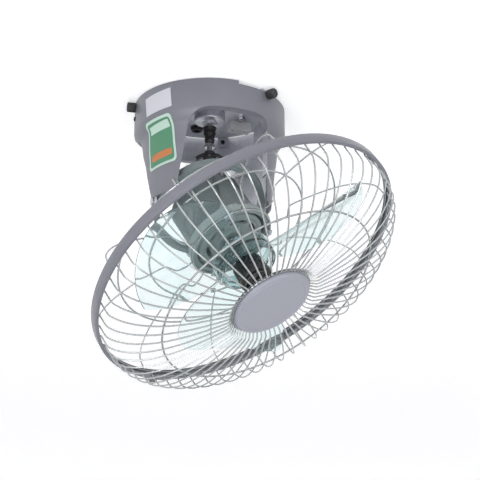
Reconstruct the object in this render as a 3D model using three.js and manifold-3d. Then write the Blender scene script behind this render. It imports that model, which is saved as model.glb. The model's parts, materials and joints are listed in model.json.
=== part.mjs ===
// Ceiling-mounted orbiting fan: canopy, gimbal ring, guarded fan head. Millimetres, +Z up.
// The origin is the centre of the face that lies on the ceiling; the gimbal's outer pins lie along X.
import * as THREE from "three";
import { mergeVertices } from "three/addons/utils/BufferGeometryUtils.js";
import Module from "manifold-3d";

const wasm = await Module();
wasm.setup();

const DEG = Math.PI / 180;

// Clearances
const REST_GAP = 0.3; // between two pieces that rest on each other
const RUN_GAP = 0.3; // radial, round a pin or shaft

// Gimbal
const PIVOT_Z = -149.3;
const RING_HALF_X = 77.5;
const RING_HALF_Y = 86;
const RING_WALL = 8.5;
const RING_HEIGHT = 12;
const PIN_RADIUS = 4;
const BUSH_WALL = 1.9;
const BUSH_FLANGE_RADIUS = 8;
const BUSH_FLANGE = 1.2;
const RING_TILT = -28.4;
const HEAD_TILT = -19.4;
const BRACKET_THICKNESS = 2.5;
const ARM_INNER = RING_HALF_X + BUSH_FLANGE + REST_GAP;
const ARM_OUTER = ARM_INNER + BRACKET_THICKNESS;

// Canopy; the legs stand outside the bracket's arms
const LEG_CLEARANCE = 6;
const LEG_RADIUS = ARM_OUTER + LEG_CLEARANCE;
const LEG_SPREAD = 11;
const SHOULDER_RADIUS = LEG_RADIUS + LEG_SPREAD;
const SHOULDER_STEP = 9;
const CANOPY_RADIUS = SHOULDER_RADIUS + SHOULDER_STEP;
const SHELL_WALL = 2.5;
const SHELL_TOP = -0.5;
const SHOULDER_TOP = -44;
const SHOULDER_BOTTOM = -58;
const LEG_BOTTOM = -149.6;
const ARCH_TOP = -42;
const ARCH_CORNER = 27;
const FRONT_ARCH_HALF = 58;
const FRONT_ARCH_FLARE = 9.2;
const FRONT_REVEAL = 11;
const BACK_ARCH_HALF = 84.3;
const BACK_ARCH_TURN = 22.5;
const BACK_REVEAL = 5;
const FRONT_REVEAL_BOTTOM = -112;
const BACK_REVEAL_BOTTOM = -72;
const RIM_NOTCH_DEPTH = 5;
const RIM_NOTCH_FROM = 3;
const RIM_NOTCH_TO = 80;

// Ceiling plate and bracket
const PLATE_CLEARANCE = 7;
const PLATE_RADIUS = CANOPY_RADIUS - SHELL_WALL - PLATE_CLEARANCE;
const PLATE_THICKNESS = 2.5;
const CEILING_HOLE_RADIUS = 3;
const CEILING_HOLE_X = 62;
const CEILING_HOLE_Y = 46;
const TAB_WIDTH = 16;
const TAB_DROP = 14;
const THUMB_SCREW_Z = -8.5;
const THUMB_SCREW_TURNS = [-96, 30, 150];
const THUMB_HEAD_RADIUS = 7;
const THUMB_HEAD_LENGTH = 12;
const THUMB_SHANK_RADIUS = 3;
const BRACKET_TOP_WIDTH = 60;
const BRACKET_END_RADIUS = 11;
const BOLT_RADIUS = 3;
const BOLT_X = 48;

// Fan head; heights below are measured from the hoop's rear edge towards the badge
const HEAD_DROP = 106; // pivot to the hoop's rear edge
const HOOP_RADIUS = 225;
const HOOP_WIDTH = 14.9;
const HOOP_SHEET = 1.6;
const HOOP_LIP = 5;
const HOOP_GAP = 2;
const LATCH_RADIUS = 217.5;
const LATCH_HINGE_Z = 3.4;
const LUG_TURN = -111.5;
const LATCH_TURN = 50.3;
const WIRE_RADIUS = 1.1;
const RING_WIRE_RADIUS = 1.3;
const FRONT_WIRES = 60;
const FRONT_WIRE_TURN = -0.7;
const FRONT_DEPTH = 68;
const FRONT_SPREAD = 222.5;
const FRONT_BULGE = 3.5;
const FRONT_BEND_RADIUS = 67;
const FRONT_RING_RADIUS = 156.6;
const REAR_WIRES = 10;
const REAR_WIRE_TURN = -9.5;
const REAR_DEPTH = 50;
const REAR_SPREAD = 221;
const REAR_BULGE = 4.4;
const REAR_RING_RADII = [118, 167];
const COLLAR_RING_RADIUS = 60;
const COLLAR_RING_Z = -37.2;
const BADGE_RADIUS = 55.3;
const BADGE_BACK = 77.5;
const BADGE_FRONT = 83;
const BADGE_LINE_RADIUS = 48;

// Rotor
const BLADES = 3;
const BLADE_TIP = 190;
const BLADE_THICKNESS = 2.2;
const HUB_REAR_RADIUS = 43;
const HUB_FRONT_RADIUS = 41;
const HUB_REAR = -12;
const HUB_FRONT = 14;
const HUB_WALL = 2.5;
const SLEEVE_RADIUS = 14;
const SHAFT_RADIUS = 5;
const SHAFT_FRONT = 30;
const SHAFT_REAR = -124;

// Motor
const MOTOR_RADIUS = 52;
const MOTOR_WALL = 2;
const MOTOR_FRONT = -44;
const MOTOR_REAR = -132;
const MOTOR_REAR_RADIUS = 30;
const MOTOR_SHOULDER = -118;
const FRONT_PLATE_RADIUS = 48.5;
const FRONT_PLATE_TOP = -39.5;
const FRONT_PLATE_BOTTOM = -43.5;
const CORE_RADIUS = 21;
const STATOR_RADIUS = 46;
const STATOR_REAR = -98;
const STATOR_FRONT = -64;
const BEARING_RADIUS = 13;
const BEARING_WIDTH = 6;
const COLLAR_RADIUS = 58;
const COLLAR_FLANGE_RADIUS = 62;
const COLLAR_FRONT = -39;
const COLLAR_REAR = -54;
const CRADLE_BOSS_RADIUS = 9;
const CRADLE_BOSS_REACH = 63;

// Orbit drive
const TAIL_REACH = 58; // pivot to the centre of the tail pin's ball
const TAIL_BALL_RADIUS = 4;
const GEAR_MOTOR_RADIUS = 22;
const GEAR_MOTOR_BOTTOM = -20;
const CRANK_SHAFT_RADIUS = 4;
const CRANK_BOTTOM = -86;
const CRANK_ARM_HEIGHT = 6;
const CRANK_SOCKET_DROP = 5.5;
const BOW_SPAN = 20;
const BOW_TURN = -20;

// Materials
function finish(color, metalness, roughness) {
  return new THREE.MeshStandardMaterial({ color, metalness, roughness });
}
const PAINT = finish(0x73747c, 0.1, 0.5);
const PALE_PAINT = finish(0x9fa2ac, 0.1, 0.5);
const WIRE = finish(0x9aa09f, 0.6, 0.35);
const ZINC = finish(0xb9bcc4, 0.8, 0.35);
const STEEL = finish(0x8d9096, 0.9, 0.3);
const DARK = finish(0x24262a, 0.1, 0.5);
const MOTOR_PAINT = finish(0x55605f, 0.3, 0.5);
const BRONZE = finish(0x8c6f45, 0.7, 0.4);
const COPPER = finish(0x9a5b3a, 0.6, 0.45);
const CLEAR = finish(0x9fb7bd, 0.0, 0.15);
CLEAR.transparent = true;
CLEAR.opacity = 0.55;

// Signed volume of an indexed closed geometry.
function volume(geometry) {
  const a = new THREE.Vector3();
  const b = new THREE.Vector3();
  const c = new THREE.Vector3();
  const place = geometry.getAttribute("position");
  const index = geometry.index;
  let total = 0;
  for (let i = 0; i < index.count; i += 3) {
    a.fromBufferAttribute(place, index.getX(i));
    b.fromBufferAttribute(place, index.getX(i + 1));
    c.fromBufferAttribute(place, index.getX(i + 2));
    total += a.dot(b.cross(c)) / 6;
  }
  return total;
}

// Welded copy without normals or slivers, with its faces out.
function clean(geometry) {
  const bare = new THREE.BufferGeometry();
  const loose = geometry.index ? geometry.toNonIndexed() : geometry;
  bare.setAttribute("position", loose.getAttribute("position"));
  const merged = mergeVertices(bare, 1e-4);
  const kept = [];
  for (let i = 0; i < merged.index.count; i += 3) {
    const a = merged.index.getX(i);
    const b = merged.index.getX(i + 1);
    const c = merged.index.getX(i + 2);
    if (a !== b && b !== c && c !== a) kept.push(a, b, c);
  }
  merged.setIndex(kept);
  if (volume(merged) < 0) merged.setIndex(kept.reverse());
  return merged;
}

function solid(geometry) {
  const welded = clean(geometry);
  return new wasm.Manifold(
    new wasm.Mesh({
      numProp: 3,
      vertProperties: new Float32Array(welded.getAttribute("position").array),
      triVerts: new Uint32Array(welded.index.array),
    }),
  );
}

function geometryOf(body) {
  const mesh = body.getMesh();
  const geometry = new THREE.BufferGeometry();
  geometry.setAttribute("position", new THREE.BufferAttribute(new Float32Array(mesh.vertProperties), 3));
  geometry.setIndex(new THREE.BufferAttribute(new Uint32Array(mesh.triVerts), 1));
  return geometry;
}

function union(geometries) {
  let total = solid(geometries[0]);
  for (const next of geometries.slice(1)) total = total.add(solid(next));
  return geometryOf(total);
}

function cut(geometry, tools) {
  let total = solid(geometry);
  for (const tool of tools) total = total.subtract(solid(tool));
  return geometryOf(total);
}

function common(geometry, other) {
  return geometryOf(solid(geometry).intersect(solid(other)));
}

// Body of revolution about Z from [radius, z] corners.
function lathe(corners, segments = 48) {
  const points = corners.map(([radius, z]) => new THREE.Vector2(radius, z));
  const geometry = new THREE.LatheGeometry([...points, points[0].clone()], segments);
  return clean(geometry.rotateX(Math.PI / 2));
}

// Solid or bored cylinder along Z between two heights.
function tube(outer, inner, low, high, segments = 20) {
  return lathe([[inner, low], [outer, low], [outer, high], [inner, high]], segments);
}

function rod(radius, low, high, segments = 16) {
  return tube(radius, 0, low, high, segments);
}

// The same, along X or Y.
function along(axis, geometry) {
  if (axis === "x") return geometry.rotateY(Math.PI / 2);
  return geometry.rotateX(-Math.PI / 2);
}

// Box from its low and high corners.
function box(low, high) {
  const size = [0, 1, 2].map((i) => high[i] - low[i]);
  const middle = [0, 1, 2].map((i) => (high[i] + low[i]) / 2);
  return clean(new THREE.BoxGeometry(...size)).translate(...middle);
}

function shapeOf(corners) {
  return new THREE.Shape(corners.map(([x, y]) => new THREE.Vector2(x, y)));
}

// Flat outline raised from one height to another.
function extrude(shape, low, high, curveSegments = 12, bevel = 0) {
  const geometry = new THREE.ExtrudeGeometry(shape, {
    depth: high - low - 2 * bevel,
    curveSegments,
    bevelEnabled: bevel > 0,
    bevelThickness: bevel,
    bevelSize: bevel,
    bevelOffset: -bevel,
    bevelSegments: 1,
  });
  return clean(geometry).translate(0, 0, low + bevel);
}

function ringPoint(radius, turn, z) {
  return new THREE.Vector3(radius * Math.cos(turn * DEG), radius * Math.sin(turn * DEG), z);
}

// Closed loft along a list of points; a looped wire joins its own start.
function wire(points, radius, sides = 4, looped = false) {
  const count = points.length;
  const place = [];
  const index = [];
  let across = new THREE.Vector3(0.31, 0.17, 0.93);
  for (let i = 0; i < count; i += 1) {
    const before = points[looped ? (i + count - 1) % count : Math.max(i - 1, 0)];
    const after = points[looped ? (i + 1) % count : Math.min(i + 1, count - 1)];
    const into = points[i].clone().sub(before).normalize();
    const out = after.clone().sub(points[i]).normalize();
    const tangent = into.clone().add(out).normalize();
    const side = (into.lengthSq() > 0 ? into : out).clone();
    const stretch = looped || (i > 0 && i < count - 1) ? 1 / Math.max(tangent.dot(side), 0.5) : 1;
    const bend = out.clone().sub(into);
    const outward = looped ? new THREE.Vector3(0, 0, 1) : across;
    const first = outward.clone().addScaledVector(tangent, -outward.dot(tangent)).normalize();
    const second = tangent.clone().cross(first);
    if (bend.lengthSq() > 1e-9) bend.normalize();
    for (let k = 0; k < sides; k += 1) {
      const turn = ((k + 0.5) / sides) * Math.PI * 2;
      const offset = first.clone().multiplyScalar(Math.cos(turn) * radius);
      offset.addScaledVector(second, Math.sin(turn) * radius);
      offset.addScaledVector(bend, offset.dot(bend) * (stretch - 1));
      place.push(...points[i].clone().add(offset).toArray());
    }
    across = first;
  }
  const spans = looped ? count : count - 1;
  for (let i = 0; i < spans; i += 1) {
    for (let k = 0; k < sides; k += 1) {
      const a = i * sides + k;
      const b = i * sides + ((k + 1) % sides);
      const c = ((i + 1) % count) * sides + k;
      const d = ((i + 1) % count) * sides + ((k + 1) % sides);
      index.push(a, b, d, a, d, c);
    }
  }
  if (!looped) {
    const last = (count - 1) * sides;
    for (let k = 1; k < sides - 1; k += 1) {
      index.push(0, k + 1, k);
      index.push(last, last + k, last + k + 1);
    }
  }
  const geometry = new THREE.BufferGeometry();
  geometry.setAttribute("position", new THREE.Float32BufferAttribute(place, 3));
  geometry.setIndex(index);
  return clean(geometry);
}

function hoopWire(radius, z, wireRadius, segments, sides = 4) {
  const points = [];
  for (let i = 0; i < segments; i += 1) points.push(ringPoint(radius, (360 * i) / segments, z));
  return wire(points, wireRadius, sides, true);
}

// Hexagonal nut with a clearance bore, its axis along Z.
function nut(across, bore, low, high) {
  const outer = rod(across / 2 / Math.cos(30 * DEG), low, high, 6);
  return cut(outer, [rod(bore, low - 1, high + 1)]);
}

function piece(name, geometry, material, parent) {
  const mesh = new THREE.Mesh(geometry, material);
  mesh.name = name;
  parent.add(mesh);
  return mesh;
}

function group(name, parent) {
  const made = new THREE.Group();
  made.name = name;
  if (parent) parent.add(made);
  return made;
}

// A tool turned about Z; a turn of 0 points along -Y, towards the front of the canopy.
function aimed(geometry, turn) {
  return geometry.rotateZ((turn - 90) * DEG);
}

const fan = group("orbital_ceiling_fan");
const canopy = group("canopy", fan);
const crank = group("orbit_crank", fan);
const ring = group("gimbal", fan);
ring.position.z = PIVOT_Z;
ring.rotation.x = RING_TILT * DEG;
const head = group("fan_head", ring);
head.rotation.y = HEAD_TILT * DEG;
// Everything in front of the pivot is laid out with +Z towards the badge.
const front = group("head_front", head);
front.position.z = -HEAD_DROP;
front.rotation.x = Math.PI;
const rotor = group("rotor", front);

// Canopy shell
const SHELL_PROFILE = [
  [CANOPY_RADIUS, SHELL_TOP],
  [CANOPY_RADIUS, SHOULDER_TOP],
  [CANOPY_RADIUS - 3.5, SHOULDER_TOP - 8],
  [SHOULDER_RADIUS, SHOULDER_BOTTOM],
  [LEG_RADIUS + 7.5, -84],
  [LEG_RADIUS + 4.9, -100],
  [LEG_RADIUS + 2.5, -125],
  [LEG_RADIUS, LEG_BOTTOM],
];

function shellBand(outerInset, innerInset, segments) {
  const outer = SHELL_PROFILE.map(([radius, z]) => [radius - outerInset, z]);
  const inner = SHELL_PROFILE.map(([radius, z]) => [radius - innerInset, z]).reverse();
  return lathe([...inner, ...outer], segments);
}

// Arch opening looking along the extrusion: half width, flare towards the bottom, and growth of the outline.
function archTool(half, flare, grown, depth) {
  const shape = new THREE.Shape();
  const low = LEG_BOTTOM - 12;
  const top = ARCH_TOP + grown;
  const spring = ARCH_TOP - ARCH_CORNER;
  const wide = half + flare + grown;
  const narrow = half + grown;
  shape.moveTo(-wide, low);
  shape.lineTo(wide, low);
  shape.lineTo(narrow, spring);
  shape.quadraticCurveTo(narrow, top, narrow - ARCH_CORNER, top);
  shape.lineTo(-narrow + ARCH_CORNER, top);
  shape.quadraticCurveTo(-narrow, top, -narrow, spring);
  shape.lineTo(-wide, low);
  return extrude(shape, 0, depth, 5).rotateX(Math.PI / 2);
}

function sector(from, to, radius, low, high) {
  const corners = [[0, 0]];
  const steps = 8;
  for (let i = 0; i <= steps; i += 1) {
    const turn = (from + ((to - from) * i) / steps) * DEG;
    corners.push([radius * Math.sin(turn), -radius * Math.cos(turn)]);
  }
  return extrude(shapeOf(corners), low, high);
}

function makeShell() {
  const wall = shellBand(0, SHELL_WALL, 40);
  const arches = [
    { half: FRONT_ARCH_HALF, flare: FRONT_ARCH_FLARE, reveal: FRONT_REVEAL, low: FRONT_REVEAL_BOTTOM, turn: 0 },
    { half: BACK_ARCH_HALF, flare: 0, reveal: BACK_REVEAL, low: BACK_REVEAL_BOTTOM, turn: 180 + BACK_ARCH_TURN },
  ];
  let shell = solid(wall);
  for (const { half, flare, reveal, low, turn } of arches) {
    const grown = archTool(half, flare, SHELL_WALL, 140).rotateZ(turn * DEG);
    const floor = box([-200, -200, low], [200, 200, 0]);
    const frame = common(common(shellBand(SHELL_WALL / 2, SHELL_WALL + reveal, 40), grown), floor);
    shell = shell.add(solid(frame));
  }
  for (const { half, flare, turn } of arches) {
    shell = shell.subtract(solid(archTool(half, flare, 0, 160).rotateZ(turn * DEG)));
  }
  const notchDepth = SHELL_TOP - RIM_NOTCH_DEPTH;
  shell = shell.subtract(solid(sector(RIM_NOTCH_FROM, RIM_NOTCH_TO, 200, notchDepth, 5)));
  for (const turn of THUMB_SCREW_TURNS) {
    const bore = rod(THUMB_SHANK_RADIUS + RUN_GAP, PLATE_RADIUS, CANOPY_RADIUS + 12, 12);
    const hole = along("x", bore).translate(0, 0, THUMB_SCREW_Z);
    shell = shell.subtract(solid(aimed(hole, turn)));
  }
  return geometryOf(shell);
}
piece("canopy_shell", makeShell(), PAINT, canopy);

// Ceiling plate with its three tabs
function makeCeilingPlate() {
  const tabOuter = CANOPY_RADIUS - SHELL_WALL - 1.5;
  const parts = [rod(PLATE_RADIUS, -PLATE_THICKNESS, 0, 40)];
  for (const turn of THUMB_SCREW_TURNS) {
    const half = TAB_WIDTH / 2;
    const foot = box([PLATE_RADIUS - 6, -half, -PLATE_THICKNESS], [tabOuter, half, 0]);
    const drop = box([tabOuter - 2.5, -half, THUMB_SCREW_Z - TAB_DROP / 2], [tabOuter, half, 0]);
    const bore = rod(THUMB_SHANK_RADIUS + RUN_GAP, PLATE_RADIUS - 8, CANOPY_RADIUS + 12, 12);
    const hole = along("x", bore).translate(0, 0, THUMB_SCREW_Z);
    parts.push(aimed(cut(union([foot, drop]), [hole]), turn));
  }
  const holes = [];
  for (const x of [-1, 1]) {
    for (const y of [-1, 1]) {
      const hole = rod(CEILING_HOLE_RADIUS, -10, 5, 12);
      holes.push(hole.translate(x * CEILING_HOLE_X, y * CEILING_HOLE_Y, 0));
    }
    holes.push(rod(BOLT_RADIUS + RUN_GAP, -10, 5, 12).translate(x * BOLT_X, 0, 0));
  }
  return cut(union(parts), holes);
}
piece("ceiling_plate", makeCeilingPlate(), ZINC, canopy);

// Knurled screws through the shell into the tabs
THUMB_SCREW_TURNS.forEach((turn, i) => {
  const corners = [];
  const flutes = 12;
  for (let k = 0; k < flutes * 2; k += 1) {
    const radius = THUMB_HEAD_RADIUS - (k % 2) * 0.7;
    const angle = (k * Math.PI) / flutes;
    corners.push([radius * Math.cos(angle), radius * Math.sin(angle)]);
  }
  const low = CANOPY_RADIUS + REST_GAP;
  const grip = along("x", extrude(shapeOf(corners), low, low + THUMB_HEAD_LENGTH));
  const shank = along("x", rod(THUMB_SHANK_RADIUS, CANOPY_RADIUS - 9, low + 1, 16));
  const screw = union([grip, shank]).translate(0, 0, THUMB_SCREW_Z);
  piece(`thumb_screw_${i + 1}`, aimed(screw, turn), DARK, canopy);
});

// U-shaped bracket that carries the gimbal's outer pins
const BRACKET_TOP = -PLATE_THICKNESS - REST_GAP;

function makeBracket() {
  const half = BRACKET_TOP_WIDTH / 2;
  const low = BRACKET_TOP - BRACKET_THICKNESS;
  const parts = [box([-ARM_OUTER, -half, low], [ARM_OUTER, half, BRACKET_TOP])];
  const outline = new THREE.Shape();
  outline.moveTo(half, BRACKET_TOP);
  outline.lineTo(-half, BRACKET_TOP);
  outline.lineTo(-half, BRACKET_TOP - 16);
  outline.lineTo(-BRACKET_END_RADIUS, PIVOT_Z);
  outline.absarc(0, PIVOT_Z, BRACKET_END_RADIUS, Math.PI, Math.PI * 2, false);
  outline.lineTo(half, BRACKET_TOP - 16);
  outline.lineTo(half, BRACKET_TOP);
  const hole = new THREE.Path();
  hole.absarc(0, PIVOT_Z, PIN_RADIUS + RUN_GAP, 0, Math.PI * 2, true);
  outline.holes.push(hole);
  const arm = extrude(outline, ARM_INNER, ARM_OUTER, 10).rotateX(Math.PI / 2).rotateZ(Math.PI / 2);
  parts.push(arm);
  parts.push(arm.clone().translate(-ARM_INNER - ARM_OUTER, 0, 0));
  const holes = [];
  for (const x of [-BOLT_X, BOLT_X]) holes.push(rod(BOLT_RADIUS + RUN_GAP, -20, 5, 12).translate(x, 0, 0));
  return cut(union(parts), holes);
}
piece("u_bracket", makeBracket(), ZINC, canopy);

const UNDER_BRACKET = BRACKET_TOP - BRACKET_THICKNESS - REST_GAP;
[-BOLT_X, BOLT_X].forEach((x, i) => {
  const headOf = rod(BOLT_RADIUS * 2, UNDER_BRACKET - 4, UNDER_BRACKET, 6);
  const shank = rod(BOLT_RADIUS, UNDER_BRACKET - 1, -REST_GAP, 16);
  piece(`bracket_bolt_${i + 1}`, union([headOf, shank]).translate(x, 0, 0), STEEL, canopy);
});

[1, -1].forEach((side, i) => {
  const shank = rod(PIN_RADIUS, RING_HALF_X - RING_WALL + 1, ARM_OUTER + 1);
  const cap = rod(PIN_RADIUS + 2.5, ARM_OUTER + REST_GAP, ARM_OUTER + 2.3);
  const pin = along("x", union([shank, cap])).translate(0, 0, PIVOT_Z);
  piece(`outer_pin_${i + 1}`, side > 0 ? pin : pin.rotateZ(Math.PI), STEEL, canopy);
});

// Electrical pieces under the bracket
function rounded(width, depth, corner) {
  const x = width / 2;
  const y = depth / 2;
  const shape = new THREE.Shape();
  shape.moveTo(-x + corner, -y);
  shape.lineTo(x - corner, -y);
  shape.quadraticCurveTo(x, -y, x, -y + corner);
  shape.lineTo(x, y - corner);
  shape.quadraticCurveTo(x, y, x - corner, y);
  shape.lineTo(-x + corner, y);
  shape.quadraticCurveTo(-x, y, -x, y - corner);
  shape.lineTo(-x, -y + corner);
  shape.quadraticCurveTo(-x, -y, -x + corner, -y);
  return shape;
}
const CAPACITOR_LENGTH = 36;
const CAPACITOR_CLEARANCE = 6;
const capacitorBody = extrude(rounded(CAPACITOR_LENGTH, 15, 3), UNDER_BRACKET - 24, UNDER_BRACKET, 3);
const CAPACITOR_X = -(ARM_INNER - CAPACITOR_CLEARANCE - CAPACITOR_LENGTH / 2);
piece("capacitor", capacitorBody.translate(CAPACITOR_X, 18, 0), DARK, canopy);

const BLOCK_LENGTH = 32;
const BLOCK_CLEARANCE = 11;
function makeTerminalBlock() {
  const body = extrude(rounded(BLOCK_LENGTH, 16, 1.5), UNDER_BRACKET - 13, UNDER_BRACKET, 2);
  const wells = [];
  for (const x of [-10, 0, 10]) wells.push(rod(2.6, UNDER_BRACKET - 16, UNDER_BRACKET - 7, 12).translate(x, 0, 0));
  return cut(body, wells);
}
const BLOCK_X = ARM_INNER - BLOCK_CLEARANCE - BLOCK_LENGTH / 2;
piece("terminal_block", makeTerminalBlock().translate(BLOCK_X, 19, 0), PALE_PAINT, canopy);

function makeGrommet() {
  const low = -PLATE_THICKNESS - REST_GAP;
  return lathe([[5, low - 6], [8, low - 6], [9.5, low - 2], [9.5, low], [5, low]], 16);
}
piece("cable_grommet", makeGrommet().translate(0, 60, 0), DARK, canopy);

function makeGearMotor() {
  const can = lathe([
    [0, GEAR_MOTOR_BOTTOM - 4],
    [10, GEAR_MOTOR_BOTTOM - 4],
    [11, GEAR_MOTOR_BOTTOM],
    [GEAR_MOTOR_RADIUS - 2, GEAR_MOTOR_BOTTOM],
    [GEAR_MOTOR_RADIUS, GEAR_MOTOR_BOTTOM + 2],
    [GEAR_MOTOR_RADIUS, UNDER_BRACKET],
    [0, UNDER_BRACKET],
  ], 32);
  return cut(can, [rod(CRANK_SHAFT_RADIUS + RUN_GAP, GEAR_MOTOR_BOTTOM - 6, GEAR_MOTOR_BOTTOM + 9)]);
}
piece("orbit_gear_motor", makeGearMotor(), ZINC, canopy);

// Orbit crank: shaft, boot, nut, bow and the arm that reaches over the tail pin
const headAxis = new THREE.Vector3(0, 0, 1);
headAxis.applyAxisAngle(new THREE.Vector3(0, 1, 0), HEAD_TILT * DEG);
headAxis.applyAxisAngle(new THREE.Vector3(1, 0, 0), RING_TILT * DEG);
const tailTip = headAxis.clone().multiplyScalar(TAIL_REACH);
const crankReach = Math.hypot(tailTip.x, tailTip.y);
const crankTurn = Math.atan2(tailTip.y, tailTip.x);
const SHAFT_HOLE = CRANK_SHAFT_RADIUS + RUN_GAP;
piece("crank_shaft", rod(CRANK_SHAFT_RADIUS, CRANK_BOTTOM + 1, GEAR_MOTOR_BOTTOM + 7), STEEL, crank);
const boot = lathe([[SHAFT_HOLE, -52], [6, -52], [7.5, -46], [7, -43], [9, -37], [8.4, -34], [10, -28],
  [SHAFT_HOLE, -28]], 20);
piece("crank_boot", boot, DARK, crank);
piece("crank_nut", nut(13, SHAFT_HOLE, -59, -54), STEEL, crank);

function makeBow() {
  const shape = new THREE.Shape();
  const rise = 7;
  const depth = 5;
  const top = -66.5;
  shape.moveTo(-BOW_SPAN, top - rise);
  shape.quadraticCurveTo(0, top + rise, BOW_SPAN, top - rise);
  shape.lineTo(BOW_SPAN - 1.5, top - rise - depth);
  shape.quadraticCurveTo(0, top + rise - depth, -BOW_SPAN + 1.5, top - rise - depth);
  const bar = extrude(shape, -3, 3, 10).rotateX(Math.PI / 2);
  const collar = rod(7.5, top - depth + 1, top + 1);
  return cut(union([bar, collar]), [rod(SHAFT_HOLE, -90, -50)]).rotateZ(BOW_TURN * DEG);
}
piece("crank_bow", makeBow(), DARK, crank);

function makeCrankArm() {
  const armTop = CRANK_BOTTOM + CRANK_ARM_HEIGHT;
  const hub = rod(9, CRANK_BOTTOM, CRANK_BOTTOM + 12, 20);
  const beam = box([0, -5, CRANK_BOTTOM], [crankReach, 5, armTop]);
  const socket = rod(7.5, CRANK_BOTTOM - CRANK_SOCKET_DROP, armTop, 20).translate(crankReach, 0, 0);
  const bore = rod(TAIL_BALL_RADIUS + 0.6, CRANK_BOTTOM - 10, armTop + 2).translate(crankReach, 0, 0);
  const shaftHole = rod(SHAFT_HOLE, CRANK_BOTTOM + 0.7, armTop + 20);
  return cut(union([hub, beam, socket]), [bore, shaftHole]).rotateZ(crankTurn);
}
piece("crank_arm", makeCrankArm(), DARK, crank);

// Gimbal ring and its bushes
function ellipse(halfX, halfY, segments) {
  const corners = [];
  for (let i = 0; i < segments; i += 1) {
    const turn = (i / segments) * Math.PI * 2;
    corners.push([halfX * Math.cos(turn), halfY * Math.sin(turn)]);
  }
  return corners;
}

function makeRing() {
  const shape = shapeOf(ellipse(RING_HALF_X, RING_HALF_Y, 36));
  shape.holes.push(shapeOf(ellipse(RING_HALF_X - RING_WALL, RING_HALF_Y - RING_WALL, 36).reverse()));
  const band = extrude(shape, -RING_HEIGHT / 2, RING_HEIGHT / 2);
  const bore = PIN_RADIUS + RUN_GAP + BUSH_WALL + REST_GAP;
  const bossX = along("x", rod(9, -RING_HALF_X, RING_HALF_X, 16));
  const bossY = along("y", rod(9, -RING_HALF_Y, RING_HALF_Y, 16));
  const hollow = extrude(
    shapeOf(ellipse(RING_HALF_X - RING_WALL, RING_HALF_Y - RING_WALL, 36)), -20, 20);
  const body = cut(union([band, bossX, bossY]), [hollow]);
  return cut(body, [along("x", rod(bore, -120, 120, 12)), along("y", rod(bore, -120, 120, 12))]);
}
piece("gimbal_ring", makeRing(), MOTOR_PAINT, ring);

function makeBush(half) {
  const inner = PIN_RADIUS + RUN_GAP;
  const outer = inner + BUSH_WALL;
  const face = half + 0.05;
  return lathe([
    [inner, half - RING_WALL + 0.2],
    [outer, half - RING_WALL + 0.2],
    [outer, face],
    [BUSH_FLANGE_RADIUS, face],
    [BUSH_FLANGE_RADIUS, face + BUSH_FLANGE - 0.05],
    [inner, face + BUSH_FLANGE - 0.05],
  ], 12);
}
piece("ring_bush_1", along("x", makeBush(RING_HALF_X)), BRONZE, ring);
piece("ring_bush_2", along("x", makeBush(RING_HALF_X)).rotateZ(Math.PI), BRONZE, ring);
piece("ring_bush_3", along("y", makeBush(RING_HALF_Y)), BRONZE, ring);
piece("ring_bush_4", along("y", makeBush(RING_HALF_Y)).rotateZ(Math.PI), BRONZE, ring);

// Pins, nuts and tail pin on the motor cradle
const PIN_END = RING_HALF_Y + BUSH_FLANGE + REST_GAP + 7;
[1, -1].forEach((side, i) => {
  const turned = side > 0 ? 0 : Math.PI;
  const pin = along("y", rod(PIN_RADIUS, CRADLE_BOSS_REACH - 7, PIN_END)).rotateZ(turned);
  piece(`inner_pin_${i + 1}`, pin, STEEL, head);
  const low = RING_HALF_Y + BUSH_FLANGE + REST_GAP;
  const made = along("y", nut(13, PIN_RADIUS + RUN_GAP, low, low + 5)).rotateZ(turned);
  piece(`inner_nut_${i + 1}`, made, STEEL, head);
});

function makeTailPin() {
  const rear = -HEAD_DROP - MOTOR_REAR + REST_GAP;
  const ball = TAIL_BALL_RADIUS;
  const corners = [[0, rear], [11, rear], [11, rear + 2.5], [5, rear + 5], [3, rear + 8], [3, TAIL_REACH - 3]];
  for (let i = 1; i <= 6; i += 1) {
    const turn = -46 * DEG + (i / 6) * 136 * DEG;
    corners.push([ball * Math.cos(turn), TAIL_REACH + ball * Math.sin(turn)]);
  }
  corners[corners.length - 1][0] = 0;
  return lathe(corners, 16);
}
piece("tail_pin", makeTailPin(), STEEL, head);

// Motor
function makeRearShell() {
  const inner = MOTOR_RADIUS - MOTOR_WALL;
  const bore = BEARING_RADIUS + RUN_GAP;
  return lathe([
    [inner, MOTOR_FRONT],
    [MOTOR_RADIUS, MOTOR_FRONT],
    [MOTOR_RADIUS, MOTOR_SHOULDER],
    [MOTOR_RADIUS - 4, MOTOR_SHOULDER - 6],
    [MOTOR_REAR_RADIUS + 8, MOTOR_REAR + 3],
    [MOTOR_REAR_RADIUS, MOTOR_REAR],
    [0, MOTOR_REAR],
    [0, MOTOR_REAR + 2.5],
    [bore, MOTOR_REAR + 2.5],
    [bore, MOTOR_REAR + 20],
    [bore + 3.5, MOTOR_REAR + 20],
    [bore + 3.5, MOTOR_REAR + 2.5],
    [MOTOR_REAR_RADIUS, MOTOR_REAR + 2.5],
    [MOTOR_REAR_RADIUS + 7, MOTOR_REAR + 5.5],
    [inner - 3.4, MOTOR_SHOULDER - 4.5],
    [inner, MOTOR_SHOULDER + 1],
  ], 28);
}
piece("motor_rear_shell", makeRearShell(), MOTOR_PAINT, front);

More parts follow.
